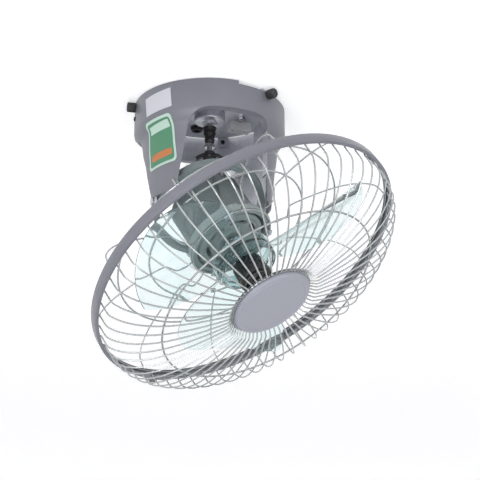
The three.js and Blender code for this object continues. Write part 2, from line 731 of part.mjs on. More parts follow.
function arcSlot(radius, width, from, to) {
  const shape = new THREE.Shape();
  const half = width / 2;
  const at = (r, turn) => [r * Math.cos(turn * DEG), r * Math.sin(turn * DEG)];
  shape.moveTo(...at(radius + half, from));
  shape.absarc(0, 0, radius + half, from * DEG, to * DEG, false);
  shape.absarc(...at(radius, to), half, to * DEG, (to + 180) * DEG, false);
  shape.absarc(0, 0, radius - half, to * DEG, from * DEG, true);
  shape.absarc(...at(radius, from), half, (from + 180) * DEG, (from + 360) * DEG, false);
  return extrude(shape, FRONT_PLATE_BOTTOM - 5, FRONT_PLATE_TOP + 5, 2);
}

function makeFrontPlate() {
  const plate = lathe([
    [BEARING_RADIUS + RUN_GAP, FRONT_PLATE_BOTTOM],
    [FRONT_PLATE_RADIUS, FRONT_PLATE_BOTTOM],
    [FRONT_PLATE_RADIUS, FRONT_PLATE_TOP - 2],
    [FRONT_PLATE_RADIUS - 3, FRONT_PLATE_TOP],
    [24, FRONT_PLATE_TOP],
    [21, FRONT_PLATE_TOP + 2],
    [BEARING_RADIUS + RUN_GAP, FRONT_PLATE_TOP + 2],
  ], 28);
  const slots = [];
  for (let i = 0; i < 6; i += 1) slots.push(arcSlot(35, 6, i * 60 + 12, i * 60 + 48));
  return cut(plate, slots);
}
piece("motor_front_plate", makeFrontPlate(), MOTOR_PAINT, front);

function makeStator() {
  const shape = shapeOf(ellipse(STATOR_RADIUS, STATOR_RADIUS, 36));
  const bore = CORE_RADIUS + 0.8;
  const hole = [];
  const slots = 12;
  for (let i = 0; i < slots; i += 1) {
    const step = 360 / slots;
    for (const [radius, turn] of [[bore, -0.32], [bore, 0.32], [34, 0.3], [34, 0.7]]) {
      const angle = -(i + turn) * step * DEG;
      hole.push([radius * Math.cos(angle), radius * Math.sin(angle)]);
    }
  }
  shape.holes.push(shapeOf(hole));
  return extrude(shape, STATOR_REAR, STATOR_FRONT);
}
piece("motor_stator", makeStator(), COPPER, front);

const BEARING_BORE = SHAFT_RADIUS + RUN_GAP;
const frontBearing = tube(BEARING_RADIUS, BEARING_BORE, FRONT_PLATE_BOTTOM, FRONT_PLATE_BOTTOM + BEARING_WIDTH, 20);
piece("motor_bearing_1", frontBearing, STEEL, front);
const rearBearing = tube(BEARING_RADIUS, BEARING_BORE, MOTOR_REAR + 13, MOTOR_REAR + 13 + BEARING_WIDTH, 20);
piece("motor_bearing_2", rearBearing, STEEL, front);

// Cradle: collar round the front of the motor and two tapering arms to the pins
function makeCradle() {
  const inner = MOTOR_RADIUS + REST_GAP;
  const collar = lathe([
    [inner, COLLAR_REAR],
    [COLLAR_RADIUS, COLLAR_REAR],
    [COLLAR_RADIUS, COLLAR_FRONT - 3],
    [COLLAR_FLANGE_RADIUS, COLLAR_FRONT - 3],
    [COLLAR_FLANGE_RADIUS, COLLAR_FRONT],
    [inner, COLLAR_FRONT],
  ], 28);
  const pivot = -HEAD_DROP;
  const outline = new THREE.Shape();
  outline.moveTo(-24, COLLAR_REAR + 3);
  outline.lineTo(-CRADLE_BOSS_RADIUS, pivot + 6);
  outline.absarc(0, pivot, CRADLE_BOSS_RADIUS, Math.PI, Math.PI * 2, false);
  outline.lineTo(24, COLLAR_REAR + 3);
  const armBand = tube(COLLAR_RADIUS, inner, pivot - CRADLE_BOSS_RADIUS - 1, COLLAR_REAR + 4, 28);
  const both = extrude(outline, -80, 80, 10).rotateX(Math.PI / 2);
  const arms = common(armBand, both);
  const boss = along("y", rod(CRADLE_BOSS_RADIUS, -CRADLE_BOSS_REACH, CRADLE_BOSS_REACH, 16));
  const bosses = cut(boss.translate(0, 0, pivot), [rod(inner + 1, pivot - 20, pivot + 20, 28)]);
  const holes = along("y", rod(PIN_RADIUS + RUN_GAP, -120, 120, 12)).translate(0, 0, pivot);
  const core = rod(inner + 3.3, pivot - 20, pivot + 20, 28);
  const screwHoles = [];
  for (const turn of CLAMP_TURNS) screwHoles.push(clampPlace(rod(1.8, COLLAR_FRONT - 5, COLLAR_FRONT + 5, 12), turn));
  return cut(union([collar, arms, bosses]), [cut(holes, [core]), ...screwHoles]);
}

// Guard clamps sit between the rear guard's wires
const CLAMP_TURNS = [8.5, 116.5, 260.5];
function clampPlace(geometry, turn) {
  return geometry.translate(55.2, 0, 0).rotateZ(turn * DEG);
}
piece("motor_cradle", makeCradle(), PAINT, front);

CLAMP_TURNS.forEach((turn, i) => {
  const top = COLLAR_RING_Z + RING_WIRE_RADIUS + REST_GAP;
  const foot = box([-2.6, -5, COLLAR_FRONT + REST_GAP], [2.9, 5, top + 1.5]);
  const tongue = box([0, -5, top], [7.5, 5, top + 1.5]);
  const clamp = cut(union([foot, tongue]), [rod(1.8, -60, 0, 12)]);
  piece(`guard_clamp_${i + 1}`, clampPlace(clamp, turn), ZINC, front);
  const seat = top + 1.5 + REST_GAP;
  const screw = union([rod(3, seat, seat + 2, 16), rod(1.5, COLLAR_FRONT - 3, seat + 1, 12)]);
  piece(`clamp_screw_${i + 1}`, clampPlace(screw, turn), STEEL, front);
});

// Hoop: inward-facing channel, split and screwed together at one lug
const LIP_RADIUS = HOOP_RADIUS - HOOP_LIP;
const END_RING_RADIUS = LIP_RADIUS + 1.4;

function onRim(geometry, turn) {
  return geometry.rotateZ(turn * DEG);
}

function makeHoop() {
  const inner = HOOP_RADIUS - HOOP_SHEET;
  const band = lathe([
    [LIP_RADIUS, 0],
    [HOOP_RADIUS, 0],
    [HOOP_RADIUS, HOOP_WIDTH],
    [LIP_RADIUS, HOOP_WIDTH],
    [LIP_RADIUS, HOOP_WIDTH - HOOP_SHEET],
    [inner, HOOP_WIDTH - HOOP_SHEET],
    [inner, HOOP_SHEET],
    [LIP_RADIUS, HOOP_SHEET],
  ], 54);
  const parts = [band];
  for (const side of [-1, 1]) {
    const near = side * (HOOP_GAP / 2 - 0.5);
    const far = side * 18;
    const wall = side * (HOOP_GAP / 2 + 2);
    const pad = box([HOOP_RADIUS - 1, Math.min(near, far), 0.9], [HOOP_RADIUS + 1.6, Math.max(near, far), 14]);
    const ear = box([HOOP_RADIUS - 1, Math.min(near, wall), 0.9], [HOOP_RADIUS + 11, Math.max(near, wall), 14]);
    parts.push(onRim(pad, LUG_TURN), onRim(ear, LUG_TURN));
    const low = side > 0 ? 7.3 : -9.3;
    const foot = box([LATCH_RADIUS - 1.8, low, 0], [LIP_RADIUS + 1.5, low + 2, HOOP_SHEET]);
    const upright = box([LATCH_RADIUS - 1.8, low, 0], [LATCH_RADIUS + 1.6, low + 2, 6]);
    parts.push(onRim(foot, LATCH_TURN), onRim(upright, LATCH_TURN));
  }
  const slit = box([200, -HOOP_GAP / 2, -5], [250, HOOP_GAP / 2, 25]);
  const screwHole = along("y", rod(2.3, -30, 30, 16)).translate(HOOP_RADIUS + 6.5, 0, HOOP_WIDTH / 2);
  const latchHole = along("y", rod(1.3, -12, 12, 12)).translate(LATCH_RADIUS, 0, LATCH_HINGE_Z);
  return cut(union(parts), [onRim(slit, LUG_TURN), onRim(screwHole, LUG_TURN), onRim(latchHole, LATCH_TURN)]);
}
piece("hoop", makeHoop(), PAINT, front);

const EAR_FACE = HOOP_GAP / 2 + 2 + REST_GAP;
const hoopScrew = along("y", union([rod(2, -EAR_FACE - 7, EAR_FACE + 1, 16), rod(3.6, EAR_FACE, EAR_FACE + 3, 20)]));
piece("hoop_screw", onRim(hoopScrew.translate(HOOP_RADIUS + 6.5, 0, HOOP_WIDTH / 2), LUG_TURN), STEEL, front);
const hoopNut = along("y", nut(7, 2 + RUN_GAP, -EAR_FACE - 3.5, -EAR_FACE));
piece("hoop_nut", onRim(hoopNut.translate(HOOP_RADIUS + 6.5, 0, HOOP_WIDTH / 2), LUG_TURN), STEEL, front);

// Latch flap inside the hoop, hinged on the two small ears
function makeLatch() {
  const leaf = box([LATCH_RADIUS - 0.6, -7, 3], [LATCH_RADIUS + 0.6, 7, 13]);
  const hook = box([LATCH_RADIUS - 0.6, -4, 11.8], [LATCH_RADIUS + 1.3, 4, 13]);
  const knuckle = along("y", rod(1.5, -7, 7)).translate(LATCH_RADIUS, 0, LATCH_HINGE_Z);
  const hinge = along("y", rod(1, -9.6, 9.6, 12)).translate(LATCH_RADIUS, 0, LATCH_HINGE_Z);
  return onRim(union([leaf, hook, knuckle, hinge]), LATCH_TURN);
}
piece("guard_latch", makeLatch(), STEEL, front);

// Front guard
function frontHeight(radius) {
  const bulge = Math.sqrt(1 - Math.pow(radius / FRONT_SPREAD, FRONT_BULGE));
  return 15 + FRONT_DEPTH * bulge;
}
const WIRE_EXIT = LIP_RADIUS - WIRE_RADIUS - 2 * REST_GAP;
const FRONT_RING_Z = HOOP_WIDTH - HOOP_SHEET - WIRE_RADIUS - REST_GAP;
const BADGE_WIRE_Z = BADGE_BACK - WIRE_RADIUS - REST_GAP;
const BADGE_RING_RADIUS = 57;

function makeFrontGuard() {
  let guard = solid(hoopWire(END_RING_RADIUS, FRONT_RING_Z, WIRE_RADIUS, 40));
  guard = guard.add(solid(hoopWire(BADGE_RING_RADIUS, BADGE_WIRE_Z, WIRE_RADIUS, 20)));
  for (let i = 0; i < FRONT_WIRES; i += 1) {
    const turn = FRONT_WIRE_TURN + (360 * i) / FRONT_WIRES;
    const points = [
      ringPoint(END_RING_RADIUS, turn, FRONT_RING_Z),
      ringPoint(WIRE_EXIT, turn, FRONT_RING_Z),
    ];
    for (const radius of [217.5, 203, FRONT_RING_RADIUS, FRONT_BEND_RADIUS]) {
      points.push(ringPoint(radius, turn, frontHeight(radius)));
    }
    points.push(ringPoint(BADGE_RING_RADIUS, turn, BADGE_WIRE_Z));
    guard = guard.add(solid(wire(points, WIRE_RADIUS, 3)));
  }
  return geometryOf(guard);
}
piece("front_guard", makeFrontGuard(), WIRE, front);

const ringInset = WIRE_RADIUS + RING_WIRE_RADIUS + 0.6;
const frontRing = hoopWire(FRONT_RING_RADIUS, frontHeight(FRONT_RING_RADIUS) - ringInset, RING_WIRE_RADIUS, 40);
piece("front_ring_wire", frontRing, WIRE, front);

// Rear guard
function rearHeight(radius) {
  return -REAR_DEPTH * Math.sqrt(1 - Math.pow(radius / REAR_SPREAD, REAR_BULGE));
}
const REAR_RING_Z = HOOP_SHEET + REST_GAP + WIRE_RADIUS;

function makeRearGuard() {
  let guard = solid(hoopWire(END_RING_RADIUS, REAR_RING_Z, WIRE_RADIUS, 40));
  guard = guard.add(solid(hoopWire(COLLAR_RING_RADIUS, COLLAR_RING_Z, RING_WIRE_RADIUS, 20)));
  for (const radius of REAR_RING_RADII) {
    guard = guard.add(solid(hoopWire(radius, rearHeight(radius) - 1.5, RING_WIRE_RADIUS, 32)));
  }
  for (let i = 0; i < REAR_WIRES; i += 1) {
    const turn = REAR_WIRE_TURN + (360 * i) / REAR_WIRES;
    const points = [
      ringPoint(END_RING_RADIUS, turn, REAR_RING_Z),
      ringPoint(WIRE_EXIT, turn, REAR_RING_Z),
      ringPoint(WIRE_EXIT, turn, -4),
    ];
    for (const radius of [215.5, 200, ...REAR_RING_RADII.slice().reverse(), 96]) {
      points.push(ringPoint(radius, turn, rearHeight(radius)));
    }
    points.push(
      ringPoint(86, turn, -34),
      ringPoint(72, turn, -33.5),
      ringPoint(COLLAR_RING_RADIUS, turn, COLLAR_RING_Z),
    );
    guard = guard.add(solid(wire(points, WIRE_RADIUS, 3)));
  }
  return geometryOf(guard);
}
piece("rear_guard", makeRearGuard(), WIRE, front);

// Badge, clamped through the middle of the front guard
const badge = lathe([
  [0, BADGE_BACK - 12],
  [5, BADGE_BACK - 12],
  [5, BADGE_BACK],
  [BADGE_RADIUS + 1.3, BADGE_BACK],
  [BADGE_RADIUS + 1.3, BADGE_BACK + 1.5],
  [BADGE_RADIUS, BADGE_FRONT - 1.1],
  [BADGE_RADIUS - 2, BADGE_FRONT - 0.2],
  [BADGE_LINE_RADIUS + 1.2, BADGE_FRONT - 0.2],
  [BADGE_LINE_RADIUS + 0.6, BADGE_FRONT + 0.4],
  [BADGE_LINE_RADIUS - 0.6, BADGE_FRONT + 0.4],
  [BADGE_LINE_RADIUS - 1.2, BADGE_FRONT],
  [0, BADGE_FRONT + 0.6],
], 36);
piece("badge", badge, PALE_PAINT, front);

const BACK_PLATE_TOP = BADGE_WIRE_Z - WIRE_RADIUS - REST_GAP;
const backPlate = lathe([
  [5 + RUN_GAP, BACK_PLATE_TOP - 1.8],
  [56, BACK_PLATE_TOP - 1.8],
  [60, BACK_PLATE_TOP],
  [5 + RUN_GAP, BACK_PLATE_TOP],
], 36);
piece("badge_back_plate", backPlate, PAINT, front);
const badgeNutTop = BACK_PLATE_TOP - 1.8 - REST_GAP;
piece("badge_nut", nut(16, 5 + RUN_GAP, badgeNutTop - 5, badgeNutTop), STEEL, front);

// Rotor: shaft, core, clear blades with their hub, spinner nut
piece("motor_shaft", rod(SHAFT_RADIUS, SHAFT_REAR, SHAFT_FRONT), STEEL, rotor);
piece("rotor_core", tube(CORE_RADIUS, BEARING_BORE, STATOR_REAR, STATOR_FRONT, 28), STEEL, rotor);

// Point of one blade: span 0 at the hub to 1 at the tip, chord 0 at the rear edge to 1 at the front edge.
function bladePoint(span, chord) {
  const corner = Math.pow(Math.abs(2 * chord - 1), 7);
  const root = HUB_REAR_RADIUS - 2.2;
  const tip = BLADE_TIP - 12 * corner;
  const radius = root + (tip - root) * span;
  const x = Math.max((radius - 46) / 138, 0);
  const frontTurn = 47 - 16 * Math.pow(x, 1.5);
  const rearTurn = -36 + 27 * Math.pow(x, 2.2);
  const frontZ = Math.min(14 + 36 * x * (1.6 - 0.6 * x), 50);
  const rearZ = -3 - 3 * x;
  const camber = 1.5 + 1.5 * Math.min(x, 1);
  const turn = rearTurn + (frontTurn - rearTurn) * chord - 211.5;
  return ringPoint(radius, turn, rearZ + (frontZ - rearZ) * Math.pow(chord, camber));
}

function makeBlade() {
  const spans = 8;
  const chords = 6;
  const place = [];
  const index = [];
  const at = (i, j, face) => (face * (spans + 1) + i) * (chords + 1) + j;
  for (const face of [-1, 1]) {
    for (let i = 0; i <= spans; i += 1) {
      for (let j = 0; j <= chords; j += 1) {
        const span = i / spans;
        const chord = j / chords;
        const along1 = bladePoint(Math.min(span + 0.01, 1), chord);
        along1.sub(bladePoint(Math.max(span - 0.01, 0), chord));
        const along2 = bladePoint(span, Math.min(chord + 0.01, 1));
        along2.sub(bladePoint(span, Math.max(chord - 0.01, 0)));
        const normal = along1.cross(along2).normalize();
        const point = bladePoint(span, chord).addScaledVector(normal, (face * BLADE_THICKNESS) / 2);
        place.push(...point.toArray());
      }
    }
  }
  const quad = (a, b, c, d) => index.push(a, b, c, a, c, d);
  for (let i = 0; i < spans; i += 1) {
    for (let j = 0; j < chords; j += 1) {
      quad(at(i, j, 0), at(i, j + 1, 0), at(i + 1, j + 1, 0), at(i + 1, j, 0));
      quad(at(i, j, 1), at(i + 1, j, 1), at(i + 1, j + 1, 1), at(i, j + 1, 1));
    }
    quad(at(i, 0, 0), at(i + 1, 0, 0), at(i + 1, 0, 1), at(i, 0, 1));
    quad(at(i, chords, 0), at(i, chords, 1), at(i + 1, chords, 1), at(i + 1, chords, 0));
  }
  for (let j = 0; j < chords; j += 1) {
    quad(at(0, j, 0), at(0, j, 1), at(0, j + 1, 1), at(0, j + 1, 0));
    quad(at(spans, j, 0), at(spans, j + 1, 0), at(spans, j + 1, 1), at(spans, j, 1));
  }
  const geometry = new THREE.BufferGeometry();
  geometry.setAttribute("position", new THREE.Float32BufferAttribute(place, 3));
  geometry.setIndex(index);
  return clean(geometry);
}

function makeWheel() {
  const bore = SHAFT_RADIUS + RUN_GAP;
  const cup = lathe([
    [bore, -34],
    [SLEEVE_RADIUS, -34],
    [SLEEVE_RADIUS, -2],
    [HUB_REAR_RADIUS - HUB_WALL - 0.8, -2],
    [HUB_REAR_RADIUS - HUB_WALL, HUB_REAR],
    [HUB_REAR_RADIUS, HUB_REAR],
    [HUB_FRONT_RADIUS, HUB_FRONT],
    [HUB_FRONT_RADIUS - HUB_WALL, HUB_FRONT],
    [HUB_FRONT_RADIUS - HUB_WALL + 0.8, 1],
    [SLEEVE_RADIUS, 1],
    [SLEEVE_RADIUS - 2, 6],
    [bore, 6],
  ], 28);
  let wheel = solid(cup);
  const keep = solid(lathe([[HUB_FRONT_RADIUS - HUB_WALL + 1.2, -60], [260, -60], [260, 80],
    [HUB_FRONT_RADIUS - HUB_WALL + 1.2, 80]], 28));
  for (let i = 0; i < BLADES; i += 1) {
    const blade = makeBlade().rotateZ((i * 360 * DEG) / BLADES);
    wheel = wheel.add(solid(blade).intersect(keep));
  }
  return geometryOf(wheel);
}
piece("blade_wheel", makeWheel(), CLEAR, rotor);

const spinner = lathe([
  [BEARING_BORE, 6 + REST_GAP],
  [21.5, 6 + REST_GAP],
  [22.6, 29],
  [23.6, 30],
  [23.6, 35.5],
  [21.5, 38],
  [17, 38],
  [15, 33],
  [BEARING_BORE, 33],
], 24);
piece("spinner_nut", spinner, DARK, rotor);

export default fan;
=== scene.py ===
import json
import math

import bmesh
import bpy
from mathutils import Matrix, Vector


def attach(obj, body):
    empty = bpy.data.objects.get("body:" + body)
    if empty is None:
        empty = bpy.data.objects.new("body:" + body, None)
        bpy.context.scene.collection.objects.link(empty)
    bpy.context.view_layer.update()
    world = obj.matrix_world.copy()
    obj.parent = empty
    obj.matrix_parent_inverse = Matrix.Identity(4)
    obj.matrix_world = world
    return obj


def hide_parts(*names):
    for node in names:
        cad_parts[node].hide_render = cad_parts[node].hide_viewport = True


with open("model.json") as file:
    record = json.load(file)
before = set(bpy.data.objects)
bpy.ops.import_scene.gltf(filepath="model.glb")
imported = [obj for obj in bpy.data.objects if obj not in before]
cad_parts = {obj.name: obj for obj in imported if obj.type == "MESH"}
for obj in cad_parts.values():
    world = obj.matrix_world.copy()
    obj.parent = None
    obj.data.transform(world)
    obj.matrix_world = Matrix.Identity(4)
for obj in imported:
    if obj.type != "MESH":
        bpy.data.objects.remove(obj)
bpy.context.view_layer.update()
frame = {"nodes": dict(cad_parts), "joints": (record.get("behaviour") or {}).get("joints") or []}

bl_info = {
    "name": "Orbiting Ceiling Fan",
    "version": (1, 0, 0),
    "blender": (4, 5, 0),
    "location": "View3D > Sidebar > Ceiling Fan",
    "description": "Dresses the packed ceiling fan with smooth pieces and finishes",
    "category": "Object",
}

MM = 0.001
TURN = math.tau

# Heights on the fan head are measured from the hoop's rear edge towards the badge, in millimetres.
HEAD_DROP = 106.0
HOOP_RADIUS = 225.0
HOOP_WIDTH = 14.9
HOOP_SHEET = 1.6
LIP_RADIUS = 220.0
END_RING_RADIUS = 221.4
WIRE_EXIT = 218.3
BADGE_WIRE_Z = 76.1
CRADLE_INNER = 52.3
PIN_HOLE = 4.3
PIN_BORE = 6.5
SHELL_WALL = 2.5
ARCH_TOP = -42.0
ARCH_CORNER = 27.0
ARCH_FOOT = -161.6

CANOPY_PROFILE = [
    (107.5, -0.5), (107.5, -42.0), (107.0, -45.0), (105.6, -48.6), (103.4, -52.6), (101.0, -55.8),
    (98.8, -58.6), (97.6, -62.0), (96.4, -70.0), (95.0, -84.0), (92.4, -100.0), (90.0, -125.0), (87.5, -149.6),
]


def joint(name):
    return next(j for j in frame["joints"] if j["name"] == name)


def head_matrix():
    """Places head pieces drawn in millimetres with +Z towards the badge."""
    toward = Vector(joint("blade_spin")["axis"]).normalized()
    across = -Vector(joint("head_hinge")["axis"]).normalized()
    side = across.cross(toward).normalized()
    across = toward.cross(side)
    turned = Matrix((side, across, toward)).transposed().to_4x4()
    pivot = Vector(joint("head_hinge")["pos_m"])
    return Matrix.Translation(pivot + toward * HEAD_DROP * MM) @ turned @ Matrix.Scale(MM, 4)


HEAD = head_matrix()
TO_HEAD = HEAD.inverted()
CANOPY = Matrix.Scale(MM, 4)


# Sizes and colours

class FanSizes(bpy.types.PropertyGroup):
    wire_diameter: bpy.props.FloatProperty(
        name="Wire diameter", description="Diameter of the guards' radial wires",
        default=0.0022, min=0.0015, max=0.003, unit="LENGTH", subtype="DISTANCE")
    ring_diameter: bpy.props.FloatProperty(
        name="Ring diameter", description="Diameter of the guards' ring wires",
        default=0.0026, min=0.0015, max=0.0035, unit="LENGTH", subtype="DISTANCE")
    blade_thickness: bpy.props.FloatProperty(
        name="Blade thickness", description="Thickness of the clear blades at mid chord",
        default=0.0022, min=0.001, max=0.003, unit="LENGTH", subtype="DISTANCE")
    front_wires: bpy.props.IntProperty(
        name="Front wires", description="Number of radial wires in the front guard", default=60, min=30, max=90)
    rear_wires: bpy.props.IntProperty(
        name="Rear wires", description="Number of radial wires in the rear guard", default=10, min=5, max=20)


def colour_property(name, description, default):
    return bpy.props.FloatVectorProperty(
        name=name, description=description, default=default, size=4, min=0.0, max=1.0, subtype="COLOR")


class FanColours(bpy.types.PropertyGroup):
    paint: colour_property("Paint", "Canopy and hoop enamel", (0.188, 0.192, 0.222, 1))
    badge: colour_property("Badge", "Moulded badge disc", (0.335, 0.345, 0.400, 1))
    wire: colour_property("Wire", "Guard wire enamel", (0.43, 0.45, 0.45, 1))
    blade: colour_property("Blade", "Tint of the clear blades", (0.89, 0.962, 0.965, 1))
    hub: colour_property("Hub", "Tint of the blade wheel's thick hub", (0.70, 0.81, 0.815, 1))
    # Partly painted light: the inside colour is bare zinc sheet, kept much paler than the outside paint to stand in
    # for the light that brightens the canopy's inside.
    inside: colour_property("Inside", "Bare zinc sheet inside the canopy", (0.74, 0.75, 0.80, 1))
    ring: colour_property("Ring", "Gimbal ring enamel", (0.21, 0.25, 0.255, 1))
    motor: colour_property("Motor", "Motor and cradle arm enamel", (0.125, 0.155, 0.162, 1))
    collar: colour_property("Collar", "Motor collar and front plate enamel", (0.36, 0.41, 0.405, 1))
    zinc: colour_property("Zinc", "Bright plated sheet", (0.60, 0.61, 0.66, 1))
    dark: colour_property("Dark", "Dark moulded plastic and rubber", (0.018, 0.017, 0.019, 1))


class StageSettings(bpy.types.PropertyGroup):
    lens: bpy.props.FloatProperty(
        name="Lens", description="Camera focal length", default=91.8, min=20, max=200, unit="CAMERA")
    key_power: bpy.props.FloatProperty(
        name="Key power", description="Power of the key lamp", default=16.0, min=0, max=200, unit="POWER")
    fill_power: bpy.props.FloatProperty(
        name="Fill power", description="Power of the fill lamp", default=9.0, min=0, max=200, unit="POWER")
    backdrop_lift: bpy.props.FloatProperty(
        name="Backdrop lift", description="White that the backdrop adds where it is seen",
        default=0.42, min=0, max=1, subtype="FACTOR")
    backdrop: colour_property("Backdrop", "Ceiling and floor colour", (0.93, 0.93, 0.94, 1))


def sizes():
    return bpy.context.scene.fan_sizes


def colours():
    return bpy.context.scene.fan_colours


def stage_settings():
    return bpy.context.scene.fan_stage


# Shader groups

def new_group(name, inputs, outputs):
    tree = bpy.data.node_groups.new(name, "ShaderNodeTree")
    for label, kind, default in inputs:
        socket = tree.interface.new_socket(label, in_out="INPUT", socket_type=kind)
        socket.default_value = default
    for label, kind in outputs:
        tree.interface.new_socket(label, in_out="OUTPUT", socket_type=kind)
    return tree, tree.nodes.new("NodeGroupInput"), tree.nodes.new("NodeGroupOutput")


def feed(tree, socket, value):
    """Links a socket to an input, or gives the input a plain value."""
    if isinstance(value, bpy.types.NodeSocket):
        tree.links.new(value, socket)
    else:
        socket.default_value = value


def add_node(tree, kind, inputs=(), **settings):
    """Adds a node, sets its properties and feeds its named inputs."""
    node = tree.nodes.new(kind)
    for key, value in settings.items():
        setattr(node, key, value)
    for name, value in inputs:
        feed(tree, node.inputs[name], value)
    return node


def mix_colour(tree, factor, first, second, blend="MIX"):
    node = add_node(tree, "ShaderNodeMix", data_type="RGBA", blend_type=blend)
    for index, value in ((0, factor), (6, first), (7, second)):
        feed(tree, node.inputs[index], value)
    return node.outputs[2]


def reckon(tree, operation, first, second, clamp=False):
    node = add_node(tree, "ShaderNodeMath", operation=operation, use_clamp=clamp)
    feed(tree, node.inputs[0], first)
    feed(tree, node.inputs[1], second)
    return node.outputs[0]


def noise(tree, place, scale, detail):
    return add_node(tree, "ShaderNodeTexNoise", [
        ("Vector", place), ("Scale", scale), ("Detail", detail)]).outputs["Fac"]


def object_place(tree):
    return add_node(tree, "ShaderNodeTexCoord").outputs["Object"]


def spread(tree, value, low, high, start=0.35, end=0.65):
    node = add_node(tree, "ShaderNodeMapRange", [
        ("Value", value), ("From Min", start), ("From Max", end), ("To Min", low), ("To Max", high)])
    return node.outputs["Result"]


def effect_group(name, effect_inputs, roughness):
    """Starts a group with a colour, an effect's own values and a roughness going in."""
    inputs = [("Color", "NodeSocketColor", (0.5, 0.5, 0.5, 1))]
    inputs += [(label, "NodeSocketFloat", value) for label, value in effect_inputs + [("Roughness", roughness)]]
    outputs = [("Color", "NodeSocketColor"), ("Roughness", "NodeSocketFloat"), ("Height", "NodeSocketFloat")]
    tree, given, made = new_group(name, inputs, outputs)
    return tree, given.outputs, made.inputs


def put_out(tree, made, colour, roughness, height):
    for label, value in (("Color", colour), ("Roughness", roughness), ("Height", height)):
        tree.links.new(value, made[label])
    return tree


def enamel_group():
    """Sprayed enamel: fine orange peel, faint tone drift and settled dust."""
    tree, given, made = effect_group("sprayed_enamel", [("Peel Scale", 900.0), ("Drift", 0.08), ("Dust", 0.1)], 0.4)
    place = object_place(tree)
    peel = noise(tree, place, given["Peel Scale"], 3.0)
    drift = noise(tree, place, 14.0, 4.0)
    specks = noise(tree, place, 260.0, 5.0)
    normal = add_node(tree, "ShaderNodeNewGeometry").outputs["Normal"]
    upward = add_node(tree, "ShaderNodeSeparateXYZ", [("Vector", normal)]).outputs["Z"]
    dusty = reckon(tree, "MULTIPLY", spread(tree, upward, 0.0, 1.0, 0.2, 1.0), given["Dust"])
    fleck = reckon(tree, "MULTIPLY", dusty, spread(tree, specks, 0.4, 1.0))
    darker = mix_colour(tree, 1.0, given["Color"], (0.82, 0.82, 0.84, 1), "MULTIPLY")
    shift = reckon(tree, "MULTIPLY", spread(tree, drift, 0.0, 6.0), given["Drift"])
    toned = mix_colour(tree, shift, given["Color"], darker)
    dusted = mix_colour(tree, fleck, toned, (0.52, 0.51, 0.49, 1))
    rough = reckon(tree, "ADD", spread(tree, drift, -0.05, 0.07), given["Roughness"], True)
    return put_out(tree, made, dusted, rough, peel)


def metal_group():
    """Turned or rolled metal: fine drag lines, dull patches and zinc spangle."""
    tree, given, made = effect_group("worked_metal", [("Line Scale", 700.0), ("Spangle", 0.15)], 0.3)
    place = object_place(tree)
    stretched = add_node(tree, "ShaderNodeMapping", [("Vector", place), ("Scale", (1.0, 1.0, 0.06))])
    lines = noise(tree, stretched.outputs[0], given["Line Scale"], 2.0)
    cells = add_node(tree, "ShaderNodeTexVoronoi", [("Vector", place), ("Scale", 160.0)])
    grey = add_node(tree, "ShaderNodeSeparateColor", [("Color", cells.outputs["Color"])]).outputs[0]
    amount = reckon(tree, "MULTIPLY", grey, given["Spangle"])
    dull = mix_colour(tree, 1.0, given["Color"], (0.72, 0.73, 0.76, 1), "MULTIPLY")
    spangled = mix_colour(tree, amount, given["Color"], dull)
    patches = spread(tree, noise(tree, place, 40.0, 5.0), -0.08, 0.16)
    rough = reckon(tree, "ADD", patches, given["Roughness"], True)
    return put_out(tree, made, spangled, rough, lines)


def moulded_group():
    """Moulded plastic or rubber: spark-eroded grain, flow tone and rubbed patches."""
    tree, given, made = effect_group("moulded_grain", [("Grain Scale", 1400.0), ("Rub", 0.1)], 0.5)
    place = object_place(tree)
    grain = add_node(tree, "ShaderNodeTexVoronoi", [("Vector", place), ("Scale", given["Grain Scale"])])
    flow = noise(tree, place, 22.0, 4.0)
    rub = reckon(tree, "MULTIPLY", spread(tree, flow, 0.0, 1.0, 0.45, 0.7), given["Rub"])
    worn = mix_colour(tree, 1.0, given["Color"], (0.10, 0.10, 0.11, 1), "ADD")
    rubbed = mix_colour(tree, rub, given["Color"], worn)
    rough = reckon(tree, "ADD", spread(tree, flow, -0.06, 0.08), given["Roughness"], True)
    return put_out(tree, made, rubbed, rough, grain.outputs["Distance"])


EFFECTS = {"enamel": enamel_group, "metal": metal_group, "moulded": moulded_group}
GROUPS = {}
RELIEF_DEPTH = 0.0002


def finish_material(name, effect, colour, settings, bump=0.1, **shader):
    """A material whose colour, roughness and relief come from one of the shared groups."""
    if effect not in GROUPS:
        GROUPS[effect] = EFFECTS[effect]()
    made = bpy.data.materials.new(name)
    made.use_nodes = True
    tree = made.node_tree
    surface = tree.nodes["Principled BSDF"]
    group = tree.nodes.new("ShaderNodeGroup")
    group.node_tree = GROUPS[effect]
    group.inputs["Color"].default_value = tuple(colour)
    for label, value in settings.items():
        group.inputs[label].default_value = value
    relief = add_node(tree, "ShaderNodeBump", [
        ("Height", group.outputs["Height"]), ("Strength", bump), ("Distance", RELIEF_DEPTH)])
    tree.links.new(group.outputs["Color"], surface.inputs["Base Color"])
    tree.links.new(group.outputs["Roughness"], surface.inputs["Roughness"])
    tree.links.new(relief.outputs["Normal"], surface.inputs["Normal"])
    for label, value in shader.items():
        surface.inputs[label].default_value = value
    return made


